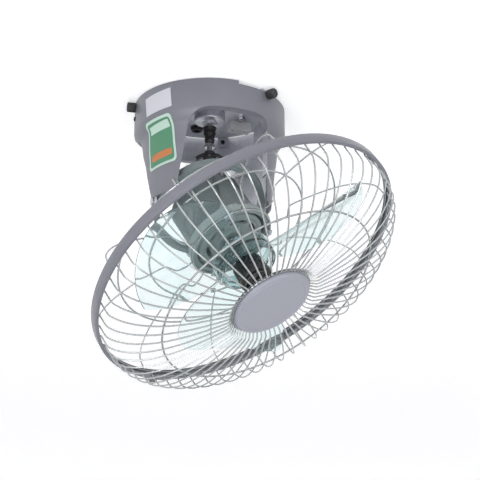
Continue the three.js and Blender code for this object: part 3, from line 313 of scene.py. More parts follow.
# Each finish: its effect, its colour or the name of its colour in the panel, the effect's values and the shader's.
LABEL = {"Grain Scale": 3000.0, "Roughness": 0.45}
CASTING = {"Peel Scale": 600.0, "Drift": 0.15, "Dust": 0.3}
FINISHES = {
    "canopy_enamel": ("enamel", "paint", {"Peel Scale": 1100.0, "Roughness": 0.42, "Dust": 0.25}, {}),
    "hoop_enamel": ("enamel", "paint", {"Peel Scale": 1500.0, "Roughness": 0.36, "Dust": 0.2}, {}),
    "badge_plastic": ("moulded", "badge", {"Grain Scale": 2600.0, "Rub": 0.05, "Roughness": 0.42}, {"bump": 0.06}),
    "wire_enamel": ("enamel", "wire", {"Peel Scale": 2500.0, "Roughness": 0.24, "Dust": 0.15}, {"Metallic": 0.6}),
    "motor_enamel": ("enamel", "motor", {**CASTING, "Roughness": 0.4}, {"bump": 0.2}),
    "ring_enamel": ("enamel", "ring", {**CASTING, "Roughness": 0.36}, {"bump": 0.2}),
    "collar_enamel": ("enamel", "collar", {**CASTING, "Drift": 0.12, "Roughness": 0.38}, {"bump": 0.2}),
    "zinc_plate": ("metal", "zinc", {"Line Scale": 500.0, "Spangle": 0.5, "Roughness": 0.38}, {"Metallic": 0.55}),
    # Inner zinc, partly painted light: its pale colour also stands in for light on the canopy's inside.
    "bare_zinc": ("metal", "inside", {"Line Scale": 350.0, "Spangle": 0.35, "Roughness": 0.42}, {"Metallic": 0.7}),
    "turned_steel": ("metal", (0.42, 0.43, 0.45, 1), {"Line Scale": 900.0, "Roughness": 0.28}, {"Metallic": 0.9}),
    "bronze": ("metal", (0.36, 0.24, 0.11, 1), {"Line Scale": 900.0, "Roughness": 0.35}, {"Metallic": 0.8}),
    "winding": ("metal", (0.07, 0.03, 0.018, 1), {"Line Scale": 300.0, "Roughness": 0.4},
                {"bump": 0.4, "Metallic": 0.6}),
    "dark_plastic": ("moulded", "dark", {"Roughness": 0.42, "Rub": 0.12}, {"bump": 0.12}),
    "nut_plastic": ("moulded", (0.012, 0.010, 0.011, 1), {"Roughness": 0.3, "Rub": 0.06}, {"bump": 0.08}),
    "pale_plastic": ("moulded", (0.55, 0.55, 0.56, 1), {"Roughness": 0.5}, {}),
    "pale_label": ("moulded", (0.60, 0.61, 0.66, 1), {**LABEL, "Roughness": 0.5}, {"bump": 0.03}),
    "green_label": ("moulded", (0.075, 0.24, 0.135, 1), LABEL, {"bump": 0.03}),
    "orange_label": ("moulded", (0.52, 0.18, 0.06, 1), LABEL, {"bump": 0.03}),
    "mint_label": ("moulded", (0.50, 0.66, 0.58, 1), LABEL, {"bump": 0.03}),
}
CLEAR_FINISHES = {"clear_blue": "blade", "clear_hub": "hub"}
MATERIALS = {}


def finish(name):
    """The object's finishes, each built when a piece first asks for it."""
    if name in MATERIALS:
        return MATERIALS[name]
    if name in CLEAR_FINISHES:
        MATERIALS[name] = clear_plastic(name, getattr(colours(), CLEAR_FINISHES[name]))
    else:
        effect, colour, settings, shader = FINISHES[name]
        if isinstance(colour, str):
            colour = getattr(colours(), colour)
        MATERIALS[name] = finish_material(name, effect, colour, settings, **shader)
    return MATERIALS[name]


def clear_plastic(name, tint):
    """Pale blue clear styrene with faint flow lines, fine scuffs and painted shade: dark teal where the surface is
    seen edge-on.
    """
    made = bpy.data.materials.new(name)
    made.use_nodes = True
    tree = made.node_tree
    surface = tree.nodes["Principled BSDF"]
    place = object_place(tree)
    flow = noise(tree, place, 18.0, 3.0)
    scuff = noise(tree, place, 420.0, 6.0)
    deeper = tuple(c ** 3 for c in tuple(tint)[:3]) + (1,)
    toned = mix_colour(tree, spread(tree, flow, 0.0, 0.5), tuple(tint), deeper)
    # Painted shade: dark teal is mixed into the colour where the surface is seen edge-on, standing in for the dark
    # edges of the clear blades.
    facing = add_node(tree, "ShaderNodeLayerWeight", [("Blend", 0.35)]).outputs["Facing"]
    edge = spread(tree, facing, 0.0, 0.85, 0.45, 0.95)
    tree.links.new(mix_colour(tree, edge, toned, (0.10, 0.33, 0.35, 1)), surface.inputs["Base Color"])
    tree.links.new(spread(tree, scuff, 0.02, 0.07), surface.inputs["Roughness"])
    relief = add_node(tree, "ShaderNodeBump", [("Height", flow), ("Strength", 0.05), ("Distance", 0.001)])
    tree.links.new(relief.outputs["Normal"], surface.inputs["Normal"])
    surface.inputs["Transmission Weight"].default_value = 0.97
    surface.inputs["IOR"].default_value = 1.3
    return made


# Meshes

def new_object(name, points, faces, matrix, material, body, replaced=(), sharp=35.0):
    """A smooth-shaded piece from millimetre points, riding on a body."""
    mesh = bpy.data.meshes.new(name)
    mesh.from_pydata([matrix @ Vector(p) for p in points], [], faces)
    return place_mesh(name, mesh, material, body, replaced, sharp)


def clean(mesh):
    """Joins doubled points and turns every face outwards."""
    shape = bmesh.new()
    shape.from_mesh(mesh)
    bmesh.ops.remove_doubles(shape, verts=shape.verts, dist=1e-7)
    bmesh.ops.recalc_face_normals(shape, faces=shape.faces)
    shape.to_mesh(mesh)
    shape.free()


def place_mesh(name, mesh, material, body, replaced=(), sharp=35.0):
    clean(mesh)
    mesh.shade_smooth()
    mesh.set_sharp_from_angle(angle=math.radians(sharp))
    made = bpy.data.objects.new(name, mesh)
    bpy.context.scene.collection.objects.link(made)
    mesh.materials.clear()
    mesh.materials.append(finish(material))
    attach(made, body)
    if replaced:
        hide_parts(*replaced)
    return made


def second_finish(made, material, chosen):
    """Gives another finish to the faces that a test of their centre and normal picks."""
    made.data.materials.append(finish(material))
    for face in made.data.polygons:
        if chosen(face.center, face.normal):
            face.material_index = 1


def lathe(profile, steps):
    """Points and faces of a closed profile of (radius, z) turned about Z."""
    points, faces = [], []
    count = len(profile)
    for i in range(steps):
        turn = TURN * i / steps
        for radius, z in profile:
            points.append((radius * math.cos(turn), radius * math.sin(turn), z))
    for i in range(steps):
        ahead = (i + 1) % steps
        for k in range(count):
            after = (k + 1) % count
            if profile[k][0] == 0 and profile[after][0] == 0:
                continue
            corners = [i * count + k, ahead * count + k, ahead * count + after, i * count + after]
            if profile[k][0] == 0:
                corners = [corners[0], corners[2], corners[3]]
            elif profile[after][0] == 0:
                corners = corners[:3]
            faces.append(corners)
    return points, faces


def tube(path, radius, sides=8, looped=False):
    """Points and faces of a round wire along a path, capped at its ends unless it is a loop."""
    points, faces = [], []
    count = len(path)
    guide = None
    for i in range(count):
        before = path[i - 1] if looped or i else path[0]
        after = path[(i + 1) % count] if looped or i < count - 1 else path[-1]
        tangent = (Vector(after) - Vector(before)).normalized()
        if guide is None:
            guide = Vector((0, 0, 1)) if abs(tangent.z) < 0.9 else Vector((1, 0, 0))
        side = (guide - tangent * guide.dot(tangent)).normalized()
        guide = side
        other = tangent.cross(side)
        for k in range(sides):
            turn = TURN * k / sides
            offset = side * math.cos(turn) * radius + other * math.sin(turn) * radius
            points.append(tuple(Vector(path[i]) + offset))
    for i in range(count if looped else count - 1):
        ahead = (i + 1) % count
        for k in range(sides):
            beside = (k + 1) % sides
            faces.append([i * sides + k, i * sides + beside, ahead * sides + beside, ahead * sides + k])
    if not looped:
        faces.append(list(range(sides))[::-1])
        faces.append([(count - 1) * sides + k for k in range(sides)])
    return points, faces


def gather(parts):
    points, faces = [], []
    for more_points, more_faces in parts:
        base = len(points)
        points.extend(more_points)
        faces.extend([[base + k for k in face] for face in more_faces])
    return points, faces


def around(radius, turn, z):
    return (radius * math.cos(math.radians(turn)), radius * math.sin(math.radians(turn)), z)


def ring_path(radius, z, steps=180):
    return [around(radius, 360 * i / steps, z) for i in range(steps)]


def rounded_path(corners, reach=2.5, steps=4):
    """A polyline with its inner corners rounded off."""
    path = [Vector(corners[0])]
    for before, corner, after in zip(corners, corners[1:], corners[2:]):
        before, corner, after = Vector(before), Vector(corner), Vector(after)
        into = min(reach, (corner - before).length * 0.45)
        out = min(reach, (after - corner).length * 0.45)
        start = corner + (before - corner).normalized() * into
        end = corner + (after - corner).normalized() * out
        for i in range(steps + 1):
            t = i / steps
            path.append(start * (1 - t) ** 2 + corner * 2 * t * (1 - t) + end * t * t)
    path.append(Vector(corners[-1]))
    return path


def boolean(mesh_object, tools, operation):
    """Applies exact booleans with each tool in turn and removes the tools."""
    for tool in tools:
        step = mesh_object.modifiers.new("step", "BOOLEAN")
        step.operation = operation
        step.solver = "EXACT"
        step.object = tool
    depsgraph = bpy.context.evaluated_depsgraph_get()
    depsgraph.update()
    result = bpy.data.meshes.new_from_object(mesh_object.evaluated_get(depsgraph))
    mesh_object.modifiers.clear()
    mesh_object.data = result
    for tool in tools:
        bpy.data.objects.remove(tool)
    return mesh_object


def scratch(points, faces, matrix=CANOPY):
    """A shape to cut or join with, which boolean, bevelled or take_mesh uses up."""
    mesh = bpy.data.meshes.new("scratch")
    mesh.from_pydata([matrix @ Vector(p) for p in points], [], faces)
    clean(mesh)
    made = bpy.data.objects.new("scratch", mesh)
    bpy.context.scene.collection.objects.link(made)
    return made


def take_mesh(made):
    """An object's mesh, with the object removed."""
    mesh = made.data
    bpy.data.objects.remove(made)
    return mesh


def bevelled(made, width, angle=40):
    """An object's mesh with its sharp edges rounded, and the object removed."""
    edge = made.modifiers.new("edge", "BEVEL")
    edge.width = width * MM
    edge.segments = 2
    edge.limit_method = "ANGLE"
    edge.angle_limit = math.radians(angle)
    depsgraph = bpy.context.evaluated_depsgraph_get()
    depsgraph.update()
    mesh = bpy.data.meshes.new_from_object(made.evaluated_get(depsgraph))
    bpy.data.objects.remove(made)
    return mesh


def prism(outline, low, high, upright=False):
    """Points and faces of an outline drawn out along Z, or along Y when it stands upright."""
    points = [(u, w, v) if upright else (u, v, w) for w in (low, high) for u, v in outline]
    count = len(outline)
    faces = [list(range(count)), [count + i for i in range(count)]]
    faces += [[i, (i + 1) % count, count + (i + 1) % count, count + i] for i in range(count)]
    return points, faces


def sheet_faces(columns, rows):
    """Faces that close two matching grids of points, one behind the other, into a thin sheet."""
    row = columns + 1
    flat = row * (rows + 1)
    cells = [j * row + i for j in range(rows) for i in range(columns)]
    faces = [[base + a, base + a + 1, base + a + row + 1, base + a + row] for base in (0, flat) for a in cells]
    rim = list(range(row)) + [j * row + columns for j in range(1, rows + 1)]
    rim += [rows * row + i for i in range(columns - 1, -1, -1)] + [j * row for j in range(rows - 1, 0, -1)]
    return faces + [[a, b, flat + b, flat + a] for a, b in zip(rim, rim[1:] + rim[:1])]


# Canopy

def canopy_radius(z):
    for (r1, z1), (r2, z2) in zip(CANOPY_PROFILE, CANOPY_PROFILE[1:]):
        if z >= z2:
            return r1 + (r2 - r1) * min(max((z1 - z) / (z1 - z2), 0), 1)
    return CANOPY_PROFILE[-1][0]


def canopy_band(outset, inset, steps=144):
    outer = [(radius - outset, z) for radius, z in CANOPY_PROFILE]
    inner = [(radius - inset, z) for radius, z in reversed(CANOPY_PROFILE)]
    return lathe(outer + inner, steps)


def arch_cutter(arch, grown, far):
    """An arch-shaped cutter that looks outwards at the arch's turn from the front."""
    narrow, top = arch["half"] + grown, ARCH_TOP + grown
    wide, spring = narrow + arch["flare"], ARCH_TOP - ARCH_CORNER
    outline = [(-wide, ARCH_FOOT), (wide, ARCH_FOOT)]
    for side in (1, -1):
        curve = []
        for i in range(9):
            t = i / 8
            x = narrow * (1 - t) ** 2 + narrow * 2 * t * (1 - t) + (narrow - ARCH_CORNER) * t * t
            z = spring * (1 - t) ** 2 + top * 2 * t * (1 - t) + top * t * t
            curve.append((side * x, z))
        outline.extend(curve if side > 0 else curve[::-1])
    return scratch(*prism(outline, 0, -far, True), CANOPY @ Matrix.Rotation(math.radians(arch["turn"]), 4, "Z"))


def block(low, high):
    points = [(x, y, z) for x in (low[0], high[0]) for y in (low[1], high[1]) for z in (low[2], high[2])]
    faces = [[0, 1, 3, 2], [4, 6, 7, 5], [0, 4, 5, 1], [2, 3, 7, 6], [0, 2, 6, 4], [1, 5, 7, 3]]
    return points, faces


ARCHES = [
    {"half": 58.0, "flare": 9.2, "reveal": 11.0, "low": -112.0, "turn": 0.0},
    {"half": 84.3, "flare": 0.0, "reveal": 5.0, "low": -72.0, "turn": 202.5},
]


class FAN_OT_canopy(bpy.types.Operator):
    """Makes the arched canopy shell with its reveals and rim notch"""
    bl_idname = "fan.canopy"
    bl_label = "Canopy Shell"

    def execute(self, context):
        shell = scratch(*canopy_band(0.0, SHELL_WALL))
        for arch in ARCHES:
            rim = scratch(*canopy_band(1.0, SHELL_WALL + arch["reveal"]))
            boolean(rim, [arch_cutter(arch, SHELL_WALL, 140.0)], "INTERSECT")
            boolean(rim, [scratch(*block((-200, -200, arch["low"]), (200, 200, 10)))], "INTERSECT")
            boolean(shell, [rim], "UNION")
        for arch in ARCHES:
            boolean(shell, [arch_cutter(arch, 0.0, 160.0)], "DIFFERENCE")
        low_rim = [(0, 0)] + [(200 * math.sin(math.radians(a)), -200 * math.cos(math.radians(a)))
                              for a in [3 + 77 * i / 8 for i in range(9)]]
        boolean(shell, [scratch(*prism(low_rim, -5.5, 5))], "DIFFERENCE")
        cover = place_mesh("canopy_cover", bevelled(shell, 0.5, 55), "canopy_enamel", "canopy_body", ["canopy_shell"],
                           40)
        # The inward-facing faces take the pale inner zinc, which partly paints in light on the canopy's inside.
        second_finish(cover, "bare_zinc", lambda spot, facing: facing.xy.dot(spot.xy) < -0.6 * spot.xy.length)
        return {"FINISHED"}


PLATE_SHEET = 0.3


def wrapped_plate(name, corners, lift, material, rounding=0.0):
    """A thin plate that follows the canopy; corners are (turn from the front, z), lowest left first."""
    columns, rows = 24, 40
    points = []
    for layer in (lift + PLATE_SHEET, lift):
        for j in range(rows + 1):
            v = (1 - math.cos(math.pi * j / rows)) / 2
            edge = min(v, 1 - v) / rounding if rounding else 1
            narrow = 1 - (1 - math.sqrt(max(1 - (1 - edge) ** 2, 0))) * rounding * 2.2 if edge < 1 else 1
            for i in range(columns + 1):
                u = 0.5 + (i / columns - 0.5) * narrow
                turn = (corners[0][0] * (1 - u) + corners[1][0] * u) * (1 - v)
                turn += (corners[3][0] * (1 - u) + corners[2][0] * u) * v
                z = (corners[0][1] * (1 - u) + corners[1][1] * u) * (1 - v)
                z += (corners[3][1] * (1 - u) + corners[2][1] * u) * v
                points.append(around(canopy_radius(z) + layer, turn - 90, z))
    faces = sheet_faces(columns, rows)
    return new_object(name, points, faces, CANOPY, material, "canopy_body")


class FAN_OT_side_screw(bpy.types.Operator):
    """Makes the small dark screw under the left thumb screw"""
    bl_idname = "fan.side_screw"
    bl_label = "Side Screw"

    def execute(self, context):
        profile = [(0, -2), (1.6, -2), (1.6, 0.1), (3.4, 0.15), (3.5, 0.9), (2.9, 1.8), (1.5, 2.3), (0.7, 2.35),
                   (0.6, 1.4), (0, 1.3)]
        points, faces = lathe(profile, 40)
        out = Matrix.Rotation(math.radians(-97 - 90), 4, "Z") @ Matrix.Rotation(math.radians(90), 4, "Y")
        matrix = CANOPY @ Matrix.Translation((0, 0, -25)) @ out @ Matrix.Translation((0, 0, 107.4))
        new_object("side_screw", points, faces, matrix, "dark_plastic", "canopy_body")
        return {"FINISHED"}


class FAN_OT_labels(bpy.types.Operator):
    """Makes the blank plates stuck on the canopy's left leg"""
    bl_idname = "fan.labels"
    bl_label = "Blank Plates"

    def execute(self, context):
        wrapped_plate("blank_plate_upper", [(-72, -41), (-47, -37), (-48.5, -9), (-74, -13)], 0.25, "pale_label")
        outer = [(-81.5, -114), (-47, -110), (-48.5, -45.5), (-76, -49)]
        wrapped_plate("blank_plate_edge", outer, 0.25, "mint_label", 0.09)
        inner = [(-79.0, -110.5), (-49.0, -107), (-50.4, -49.5), (-74.6, -52.5)]
        wrapped_plate("blank_plate_field", inner, 0.6, "green_label", 0.08)
        header = [(-73.2, -66), (-51.4, -62), (-51.9, -52.5), (-72.6, -56)]
        wrapped_plate("blank_plate_header", header, 0.95, "mint_label", 0.05)
        strip = [(-75.6, -104), (-51.0, -100.5), (-51.2, -91), (-74.4, -94.5)]
        wrapped_plate("blank_plate_strip", strip, 0.95, "orange_label", 0.2)
        return {"FINISHED"}


def wheel_profile(corners, steps, flutes, depth, span):
    """A lathe whose profile points inside a span of heights are fluted."""
    points, faces = lathe(corners, steps)
    moved = []
    for x, y, z in points:
        radius = math.hypot(x, y)
        if radius > 1e-6 and span[0] <= z <= span[1] and radius > span[2]:
            turn = math.atan2(y, x)
            factor = (radius - depth * (0.5 - 0.5 * math.cos(flutes * turn))) / radius
            x, y = x * factor, y * factor
        moved.append((x, y, z))
    return moved, faces


THUMB_TURNS = (-96.0, 30.0, 150.0)


class FAN_OT_thumb_screws(bpy.types.Operator):
    """Makes the knurled screws round the canopy's rim"""
    bl_idname = "fan.thumb_screws"
    bl_label = "Thumb Screws"

    def execute(self, context):
        profile = [(0, -8.6), (2.9, -8.6), (3, 0.35), (6.2, 0.35), (7.0, 1.1), (7.0, 10.9), (6.2, 12.2), (4.6, 12.2),
                   (4.2, 11.4), (0, 11.2)]
        for i, turn in enumerate(THUMB_TURNS):
            points, faces = wheel_profile(profile, 96, 16, 0.8, (1.0, 11.0, 5.0))
            out = Matrix.Rotation(math.radians(turn - 90), 4, "Z") @ Matrix.Rotation(math.radians(90), 4, "Y")
            matrix = CANOPY @ Matrix.Translation((0, 0, -8.5)) @ out @ Matrix.Translation((0, 0, 107.5))
            new_object(f"thumb_screw_grip_{i + 1}", points, faces, matrix, "dark_plastic", "canopy_body",
                       [f"thumb_screw_{i + 1}"])
        return {"FINISHED"}


# Fan head

def front_height(radius):
    return 15 + 68 * math.sqrt(max(1 - (radius / 222.5) ** 3.5, 0))


def rear_height(radius):
    return -50 * math.sqrt(max(1 - (radius / 221.0) ** 4.4, 0))


class FAN_OT_front_guard(bpy.types.Operator):
    """Makes the domed front guard of radial wires with its end rings and ring wire"""
    bl_idname = "fan.front_guard"
    bl_label = "Front Guard"

    def execute(self, context):
        wire = sizes().wire_diameter / MM / 2
        ring = sizes().ring_diameter / MM / 2
        parts = [tube(ring_path(END_RING_RADIUS, 11.9), wire, looped=True),
                 tube(ring_path(57.0, BADGE_WIRE_Z), wire, looped=True)]
        radii = [217.6, 215.0, 211.0, 206.0, 199.0, 190.0, 179.0, 166.0, 151.0, 134.0, 116.0, 98.0, 82.0, 70.0]
        for i in range(sizes().front_wires):
            turn = -0.7 + 360 * i / sizes().front_wires
            corners = [around(END_RING_RADIUS, turn, 11.9), around(WIRE_EXIT + 0.2, turn, 12.0),
                       around(218.3, turn, 26.0)]
            corners += [around(radius, turn, front_height(radius)) for radius in radii]
            corners += [around(66.0, turn, 82.0), around(60.5, turn, 77.3), around(57.0, turn, BADGE_WIRE_Z)]
            parts.append(tube(rounded_path(corners, 3.0, 2), wire))
        points, faces = gather(parts)
        new_object("front_guard_wires", points, faces, HEAD, "wire_enamel", "head_body", ["front_guard"])
        points, faces = tube(ring_path(156.2, front_height(156.6) - wire - ring - 0.35), ring, 10, True)
        new_object("front_guard_ring", points, faces, HEAD, "wire_enamel", "head_body", ["front_ring_wire"])
        return {"FINISHED"}


class FAN_OT_rear_guard(bpy.types.Operator):
    """Makes the rear guard of radial wires joggled onto the motor collar"""
    bl_idname = "fan.rear_guard"
    bl_label = "Rear Guard"

    def execute(self, context):
        wire = sizes().wire_diameter / MM / 2
        ring = sizes().ring_diameter / MM / 2
        parts = [tube(ring_path(END_RING_RADIUS, 3.0), wire, looped=True),
                 tube(ring_path(60.0, -37.2), ring, 10, True)]
        for radius in (118.0, 167.0):
            parts.append(tube(ring_path(radius, rear_height(radius) - 1.9), ring, 10, True))
        radii = [216.0, 213.0, 208.0, 201.0, 192.0, 180.0, 167.0, 150.0, 134.0, 118.0, 105.0]
        for i in range(sizes().rear_wires):
            turn = -9.5 + 360 * i / sizes().rear_wires
            corners = [around(END_RING_RADIUS, turn, 3.0), around(WIRE_EXIT, turn, 3.0),
                       around(WIRE_EXIT, turn, -5.0)]
            corners += [around(radius, turn, rear_height(radius)) for radius in radii]
            corners += [around(96.0, turn, -48.5), around(86.0, turn, -34.0), around(72.0, turn, -33.5),
                        around(60.0, turn, -37.2)]
            parts.append(tube(rounded_path(corners, 3.5, 3), wire))
        points, faces = gather(parts)
        new_object("rear_guard_wires", points, faces, HEAD, "wire_enamel", "head_body", ["rear_guard"])
        return {"FINISHED"}


class FAN_OT_badge(bpy.types.Operator):
    """Makes the plain badge disc with its rim and raised line, and the plate behind it"""
    bl_idname = "fan.badge"
    bl_label = "Badge"

    def execute(self, context):
        profile = [(0, 65.5), (4.6, 65.5), (5, 66.0), (5, 77.5), (56.4, 77.5), (56.6, 77.8), (56.5, 78.8),
                   (55.9, 80.2), (54.9, 81.6), (53.6, 82.5), (52.2, 82.8), (49.6, 82.8), (49.0, 83.0),
                   (48.5, 83.35), (47.6, 83.35), (47.1, 83.0), (46.6, 82.7), (44.0, 82.75), (30, 83.2), (15, 83.5),
                   (0, 83.55)]
        points, faces = lathe(profile, 160)
        new_object("badge_disc", points, faces, HEAD, "badge_plastic", "head_body", ["badge"], 30)
        profile = [(5.3, 72.9), (30, 72.9), (54, 72.9), (57.5, 73.4), (59.6, 74.3), (59.8, 74.7), (5.3, 74.7)]
        points, faces = lathe(profile, 120)
        new_object("badge_clamp_disc", points, faces, HEAD, "hoop_enamel", "head_body", ["badge_back_plate"],
                   30)
        return {"FINISHED"}


class FAN_OT_hoop(bpy.types.Operator):
    """Makes the channel hoop with its closing lug and latch ears"""
    bl_idname = "fan.hoop"
    bl_label = "Hoop"

    def execute(self, context):
        inner = HOOP_RADIUS - HOOP_SHEET
        profile = [(LIP_RADIUS, 0.4), (LIP_RADIUS + 0.4, 0), (223.6, 0), (224.6, 0.35), (HOOP_RADIUS, 1.3),
                   (HOOP_RADIUS, HOOP_WIDTH - 1.3), (224.6, HOOP_WIDTH - 0.35), (223.6, HOOP_WIDTH),
                   (LIP_RADIUS + 0.4, HOOP_WIDTH), (LIP_RADIUS, HOOP_WIDTH - 0.4),
                   (LIP_RADIUS, HOOP_WIDTH - HOOP_SHEET), (inner - 0.6, HOOP_WIDTH - HOOP_SHEET),
                   (inner, HOOP_WIDTH - HOOP_SHEET - 0.6), (inner, HOOP_SHEET + 0.6), (inner - 0.6, HOOP_SHEET),
                   (LIP_RADIUS, HOOP_SHEET)]
        hoop = scratch(*lathe(profile, 240), HEAD)
        lug = Matrix.Rotation(math.radians(-111.5), 4, "Z")
        latch = Matrix.Rotation(math.radians(50.3), 4, "Z")
        for side in (-1, 1):
            near, far, wall = side * 0.5, side * 18, side * 3
            pad = block((224, min(near, far), 0.9), (226.6, max(near, far), 14))
            ear = block((224, min(near, wall), 0.9), (236, max(near, wall), 14))
            low = 7.3 if side > 0 else -9.3
            foot = block((215.7, low, 0), (221.5, low + 2, 1.55))
            upright = block((215.7, low, 0.05), (219.1, low + 2, 6))
            for part, turned in ((pad, lug), (ear, lug), (foot, latch), (upright, latch)):
                boolean(hoop, [scratch(*part, HEAD @ turned)], "UNION")
        slit = block((200, -1, -5), (250, 1, 25))
        boolean(hoop, [scratch(*slit, HEAD @ lug)], "DIFFERENCE")
        for turned, radius, reach, x, z in ((lug, 2.3, 30, 231.5, HOOP_WIDTH / 2), (latch, 1.3, 12, 217.5, 3.4)):
            bore = lathe([(0, -reach), (radius, -reach), (radius, reach), (0, reach)], 32)
            lay = Matrix.Translation((x, 0, z)) @ Matrix.Rotation(math.radians(90), 4, "X")
            boolean(hoop, [scratch(*bore, HEAD @ turned @ lay)], "DIFFERENCE")
        place_mesh("hoop_band", take_mesh(hoop), "hoop_enamel", "head_body", ["hoop"], 30)
        return {"FINISHED"}


def oval_band(half_x, half_y, wall, low, high, steps=120):
    """Points and faces of an oval ring of one wall thickness; a wall of 0 makes it solid."""
    points, faces = [], []
    rows = [(0, low), (0, high), (wall, high), (wall, low)] if wall else [(0, low), (0, high)]
    for i in range(steps):
        turn = TURN * i / steps
        for inset, z in rows:
            points.append(((half_x - inset) * math.cos(turn), (half_y - inset) * math.sin(turn), z))
    count = len(rows)
    for i in range(steps):
        ahead = (i + 1) % steps
        for k in range(count if wall else 1):
            after = (k + 1) % count
            faces.append([i * count + k, ahead * count + k, ahead * count + after, i * count + after])
    if not wall:
        faces += [[i * 2 for i in range(steps)], [i * 2 + 1 for i in range(steps)]]
    return points, faces


def post(radius, low, high, axis, steps=40):
    """Points and faces of a round bar lying along X or Y."""
    points, faces = lathe([(0, low), (radius, low), (radius, high), (0, high)], steps)
    swap = {"x": lambda p: (p[2], p[0], p[1]), "y": lambda p: (p[1], p[2], p[0]), "z": lambda p: p}[axis]
    return [swap(p) for p in points], faces


ARM_ROOT = -53.5
RING_HALF_X, RING_HALF_Y, RING_WALL, RING_TILT = 77.5, 86.0, 8.5, -28.4


class FAN_OT_gimbal(bpy.types.Operator):
    """Makes the gimbal ring with its four pin bosses"""
    bl_idname = "fan.gimbal"
    bl_label = "Gimbal Ring"

    def execute(self, context):
        pivot = Vector(joint("head_hinge")["pos_m"])
        place = Matrix.Translation(pivot) @ Matrix.Rotation(math.radians(RING_TILT), 4, "X") @ Matrix.Scale(MM, 4)
        ring = scratch(*oval_band(RING_HALF_X, RING_HALF_Y, RING_WALL, -6, 6), place)
        for axis, half in (("x", RING_HALF_X), ("y", RING_HALF_Y)):
            boolean(ring, [scratch(*post(9, -half, half, axis), place)], "UNION")
        hollow = oval_band(RING_HALF_X - RING_WALL, RING_HALF_Y - RING_WALL, 0, -20, 20)
        boolean(ring, [scratch(*hollow, place)], "DIFFERENCE")
        for axis in ("x", "y"):
            boolean(ring, [scratch(*post(PIN_BORE, -120, 120, axis), place)], "DIFFERENCE")
        place_mesh("gimbal_casting", bevelled(ring, 1.0), "ring_enamel", "gimbal_body", ["gimbal_ring"],
                   35)
        return {"FINISHED"}


class FAN_OT_cradle(bpy.types.Operator):
    """Makes the motor's collar with its two arms, and the slotted front plate inside it"""
    bl_idname = "fan.cradle"
    bl_label = "Motor Cradle"

    def execute(self, context):
        collar = [(CRADLE_INNER, -54), (58, -54), (58, -42), (61.6, -42), (62, -41.6), (62, -39.4), (61.6, -39),
                  (CRADLE_INNER, -39)]
        cradle = scratch(*lathe(collar, 120), HEAD)
        band = scratch(*lathe([(CRADLE_INNER, -116), (58, -116), (58, -50), (CRADLE_INNER, -50)], 120), HEAD)
        outline = [(-24, -51), (-9, -100)]
        outline += [(-9 * math.cos(math.radians(a)), -106 - 9 * math.sin(math.radians(a)))
                    for a in range(0, 181, 15)]
        outline += [(9, -100), (24, -51)]
        boolean(band, [scratch(*prism(outline, -80, 80, True), HEAD)], "INTERSECT")
        boolean(cradle, [band], "UNION")
        drop = HEAD @ Matrix.Translation((0, 0, -HEAD_DROP))
        boss = scratch(*post(9, -63, 63, "y"), drop)
        boolean(boss, [scratch(*post(CRADLE_INNER + 1, -20, 20, "z", 120), drop)], "DIFFERENCE")
        boolean(cradle, [boss], "UNION")
        hole = scratch(*post(PIN_HOLE, -120, 120, "y"), drop)
        boolean(hole, [scratch(*post(CRADLE_INNER + 3.3, -20, 20, "z", 96), drop)], "DIFFERENCE")
        boolean(cradle, [hole], "DIFFERENCE")
        for turn in (8.5, 116.5, 260.5):
            spot = HEAD @ Matrix.Rotation(math.radians(turn), 4, "Z") @ Matrix.Translation((55.2, 0, 0))
            boolean(cradle, [scratch(*post(1.8, -44, -34, "z", 24), spot)], "DIFFERENCE")
        casting = place_mesh("cradle_casting", bevelled(cradle, 0.6), "collar_enamel", "head_body", ["motor_cradle"],
                             35)
        second_finish(casting, "motor_enamel", lambda spot, facing: (TO_HEAD @ spot).z < ARM_ROOT)
        profile = [(13.3, -43.5), (48.5, -43.5), (48.5, -41.5), (47.6, -40.2), (45.5, -39.5), (42.6, -39.5),
                   (42.0, -40.2), (41.2, -40.2), (40.6, -39.5), (24, -39.5), (22.8, -39.2),
                   (21, -37.5), (13.3, -37.5)]
        plate = scratch(*lathe(profile, 144), HEAD)
        for i in range(6):
            rim = [around(38, a, 0) for a in range(i * 60 + 12, i * 60 + 49, 4)]
            rim += [around(35 + 3 * math.cos(math.radians(a)), i * 60 + 48 + 4.9 * math.sin(math.radians(a)), 0)
                    for a in range(20, 180, 20)]
            rim += [around(32, a, 0) for a in range(i * 60 + 48, i * 60 + 11, -4)]
            rim += [around(35 - 3 * math.cos(math.radians(a)), i * 60 + 12 - 4.9 * math.sin(math.radians(a)), 0)
                    for a in range(20, 180, 20)]
            boolean(plate, [scratch(*prism([point[:2] for point in rim], -50, -30), HEAD)], "DIFFERENCE")
        place_mesh("slotted_plate", take_mesh(plate), "collar_enamel", "head_body", ["motor_front_plate"],
                   30)
        return {"FINISHED"}


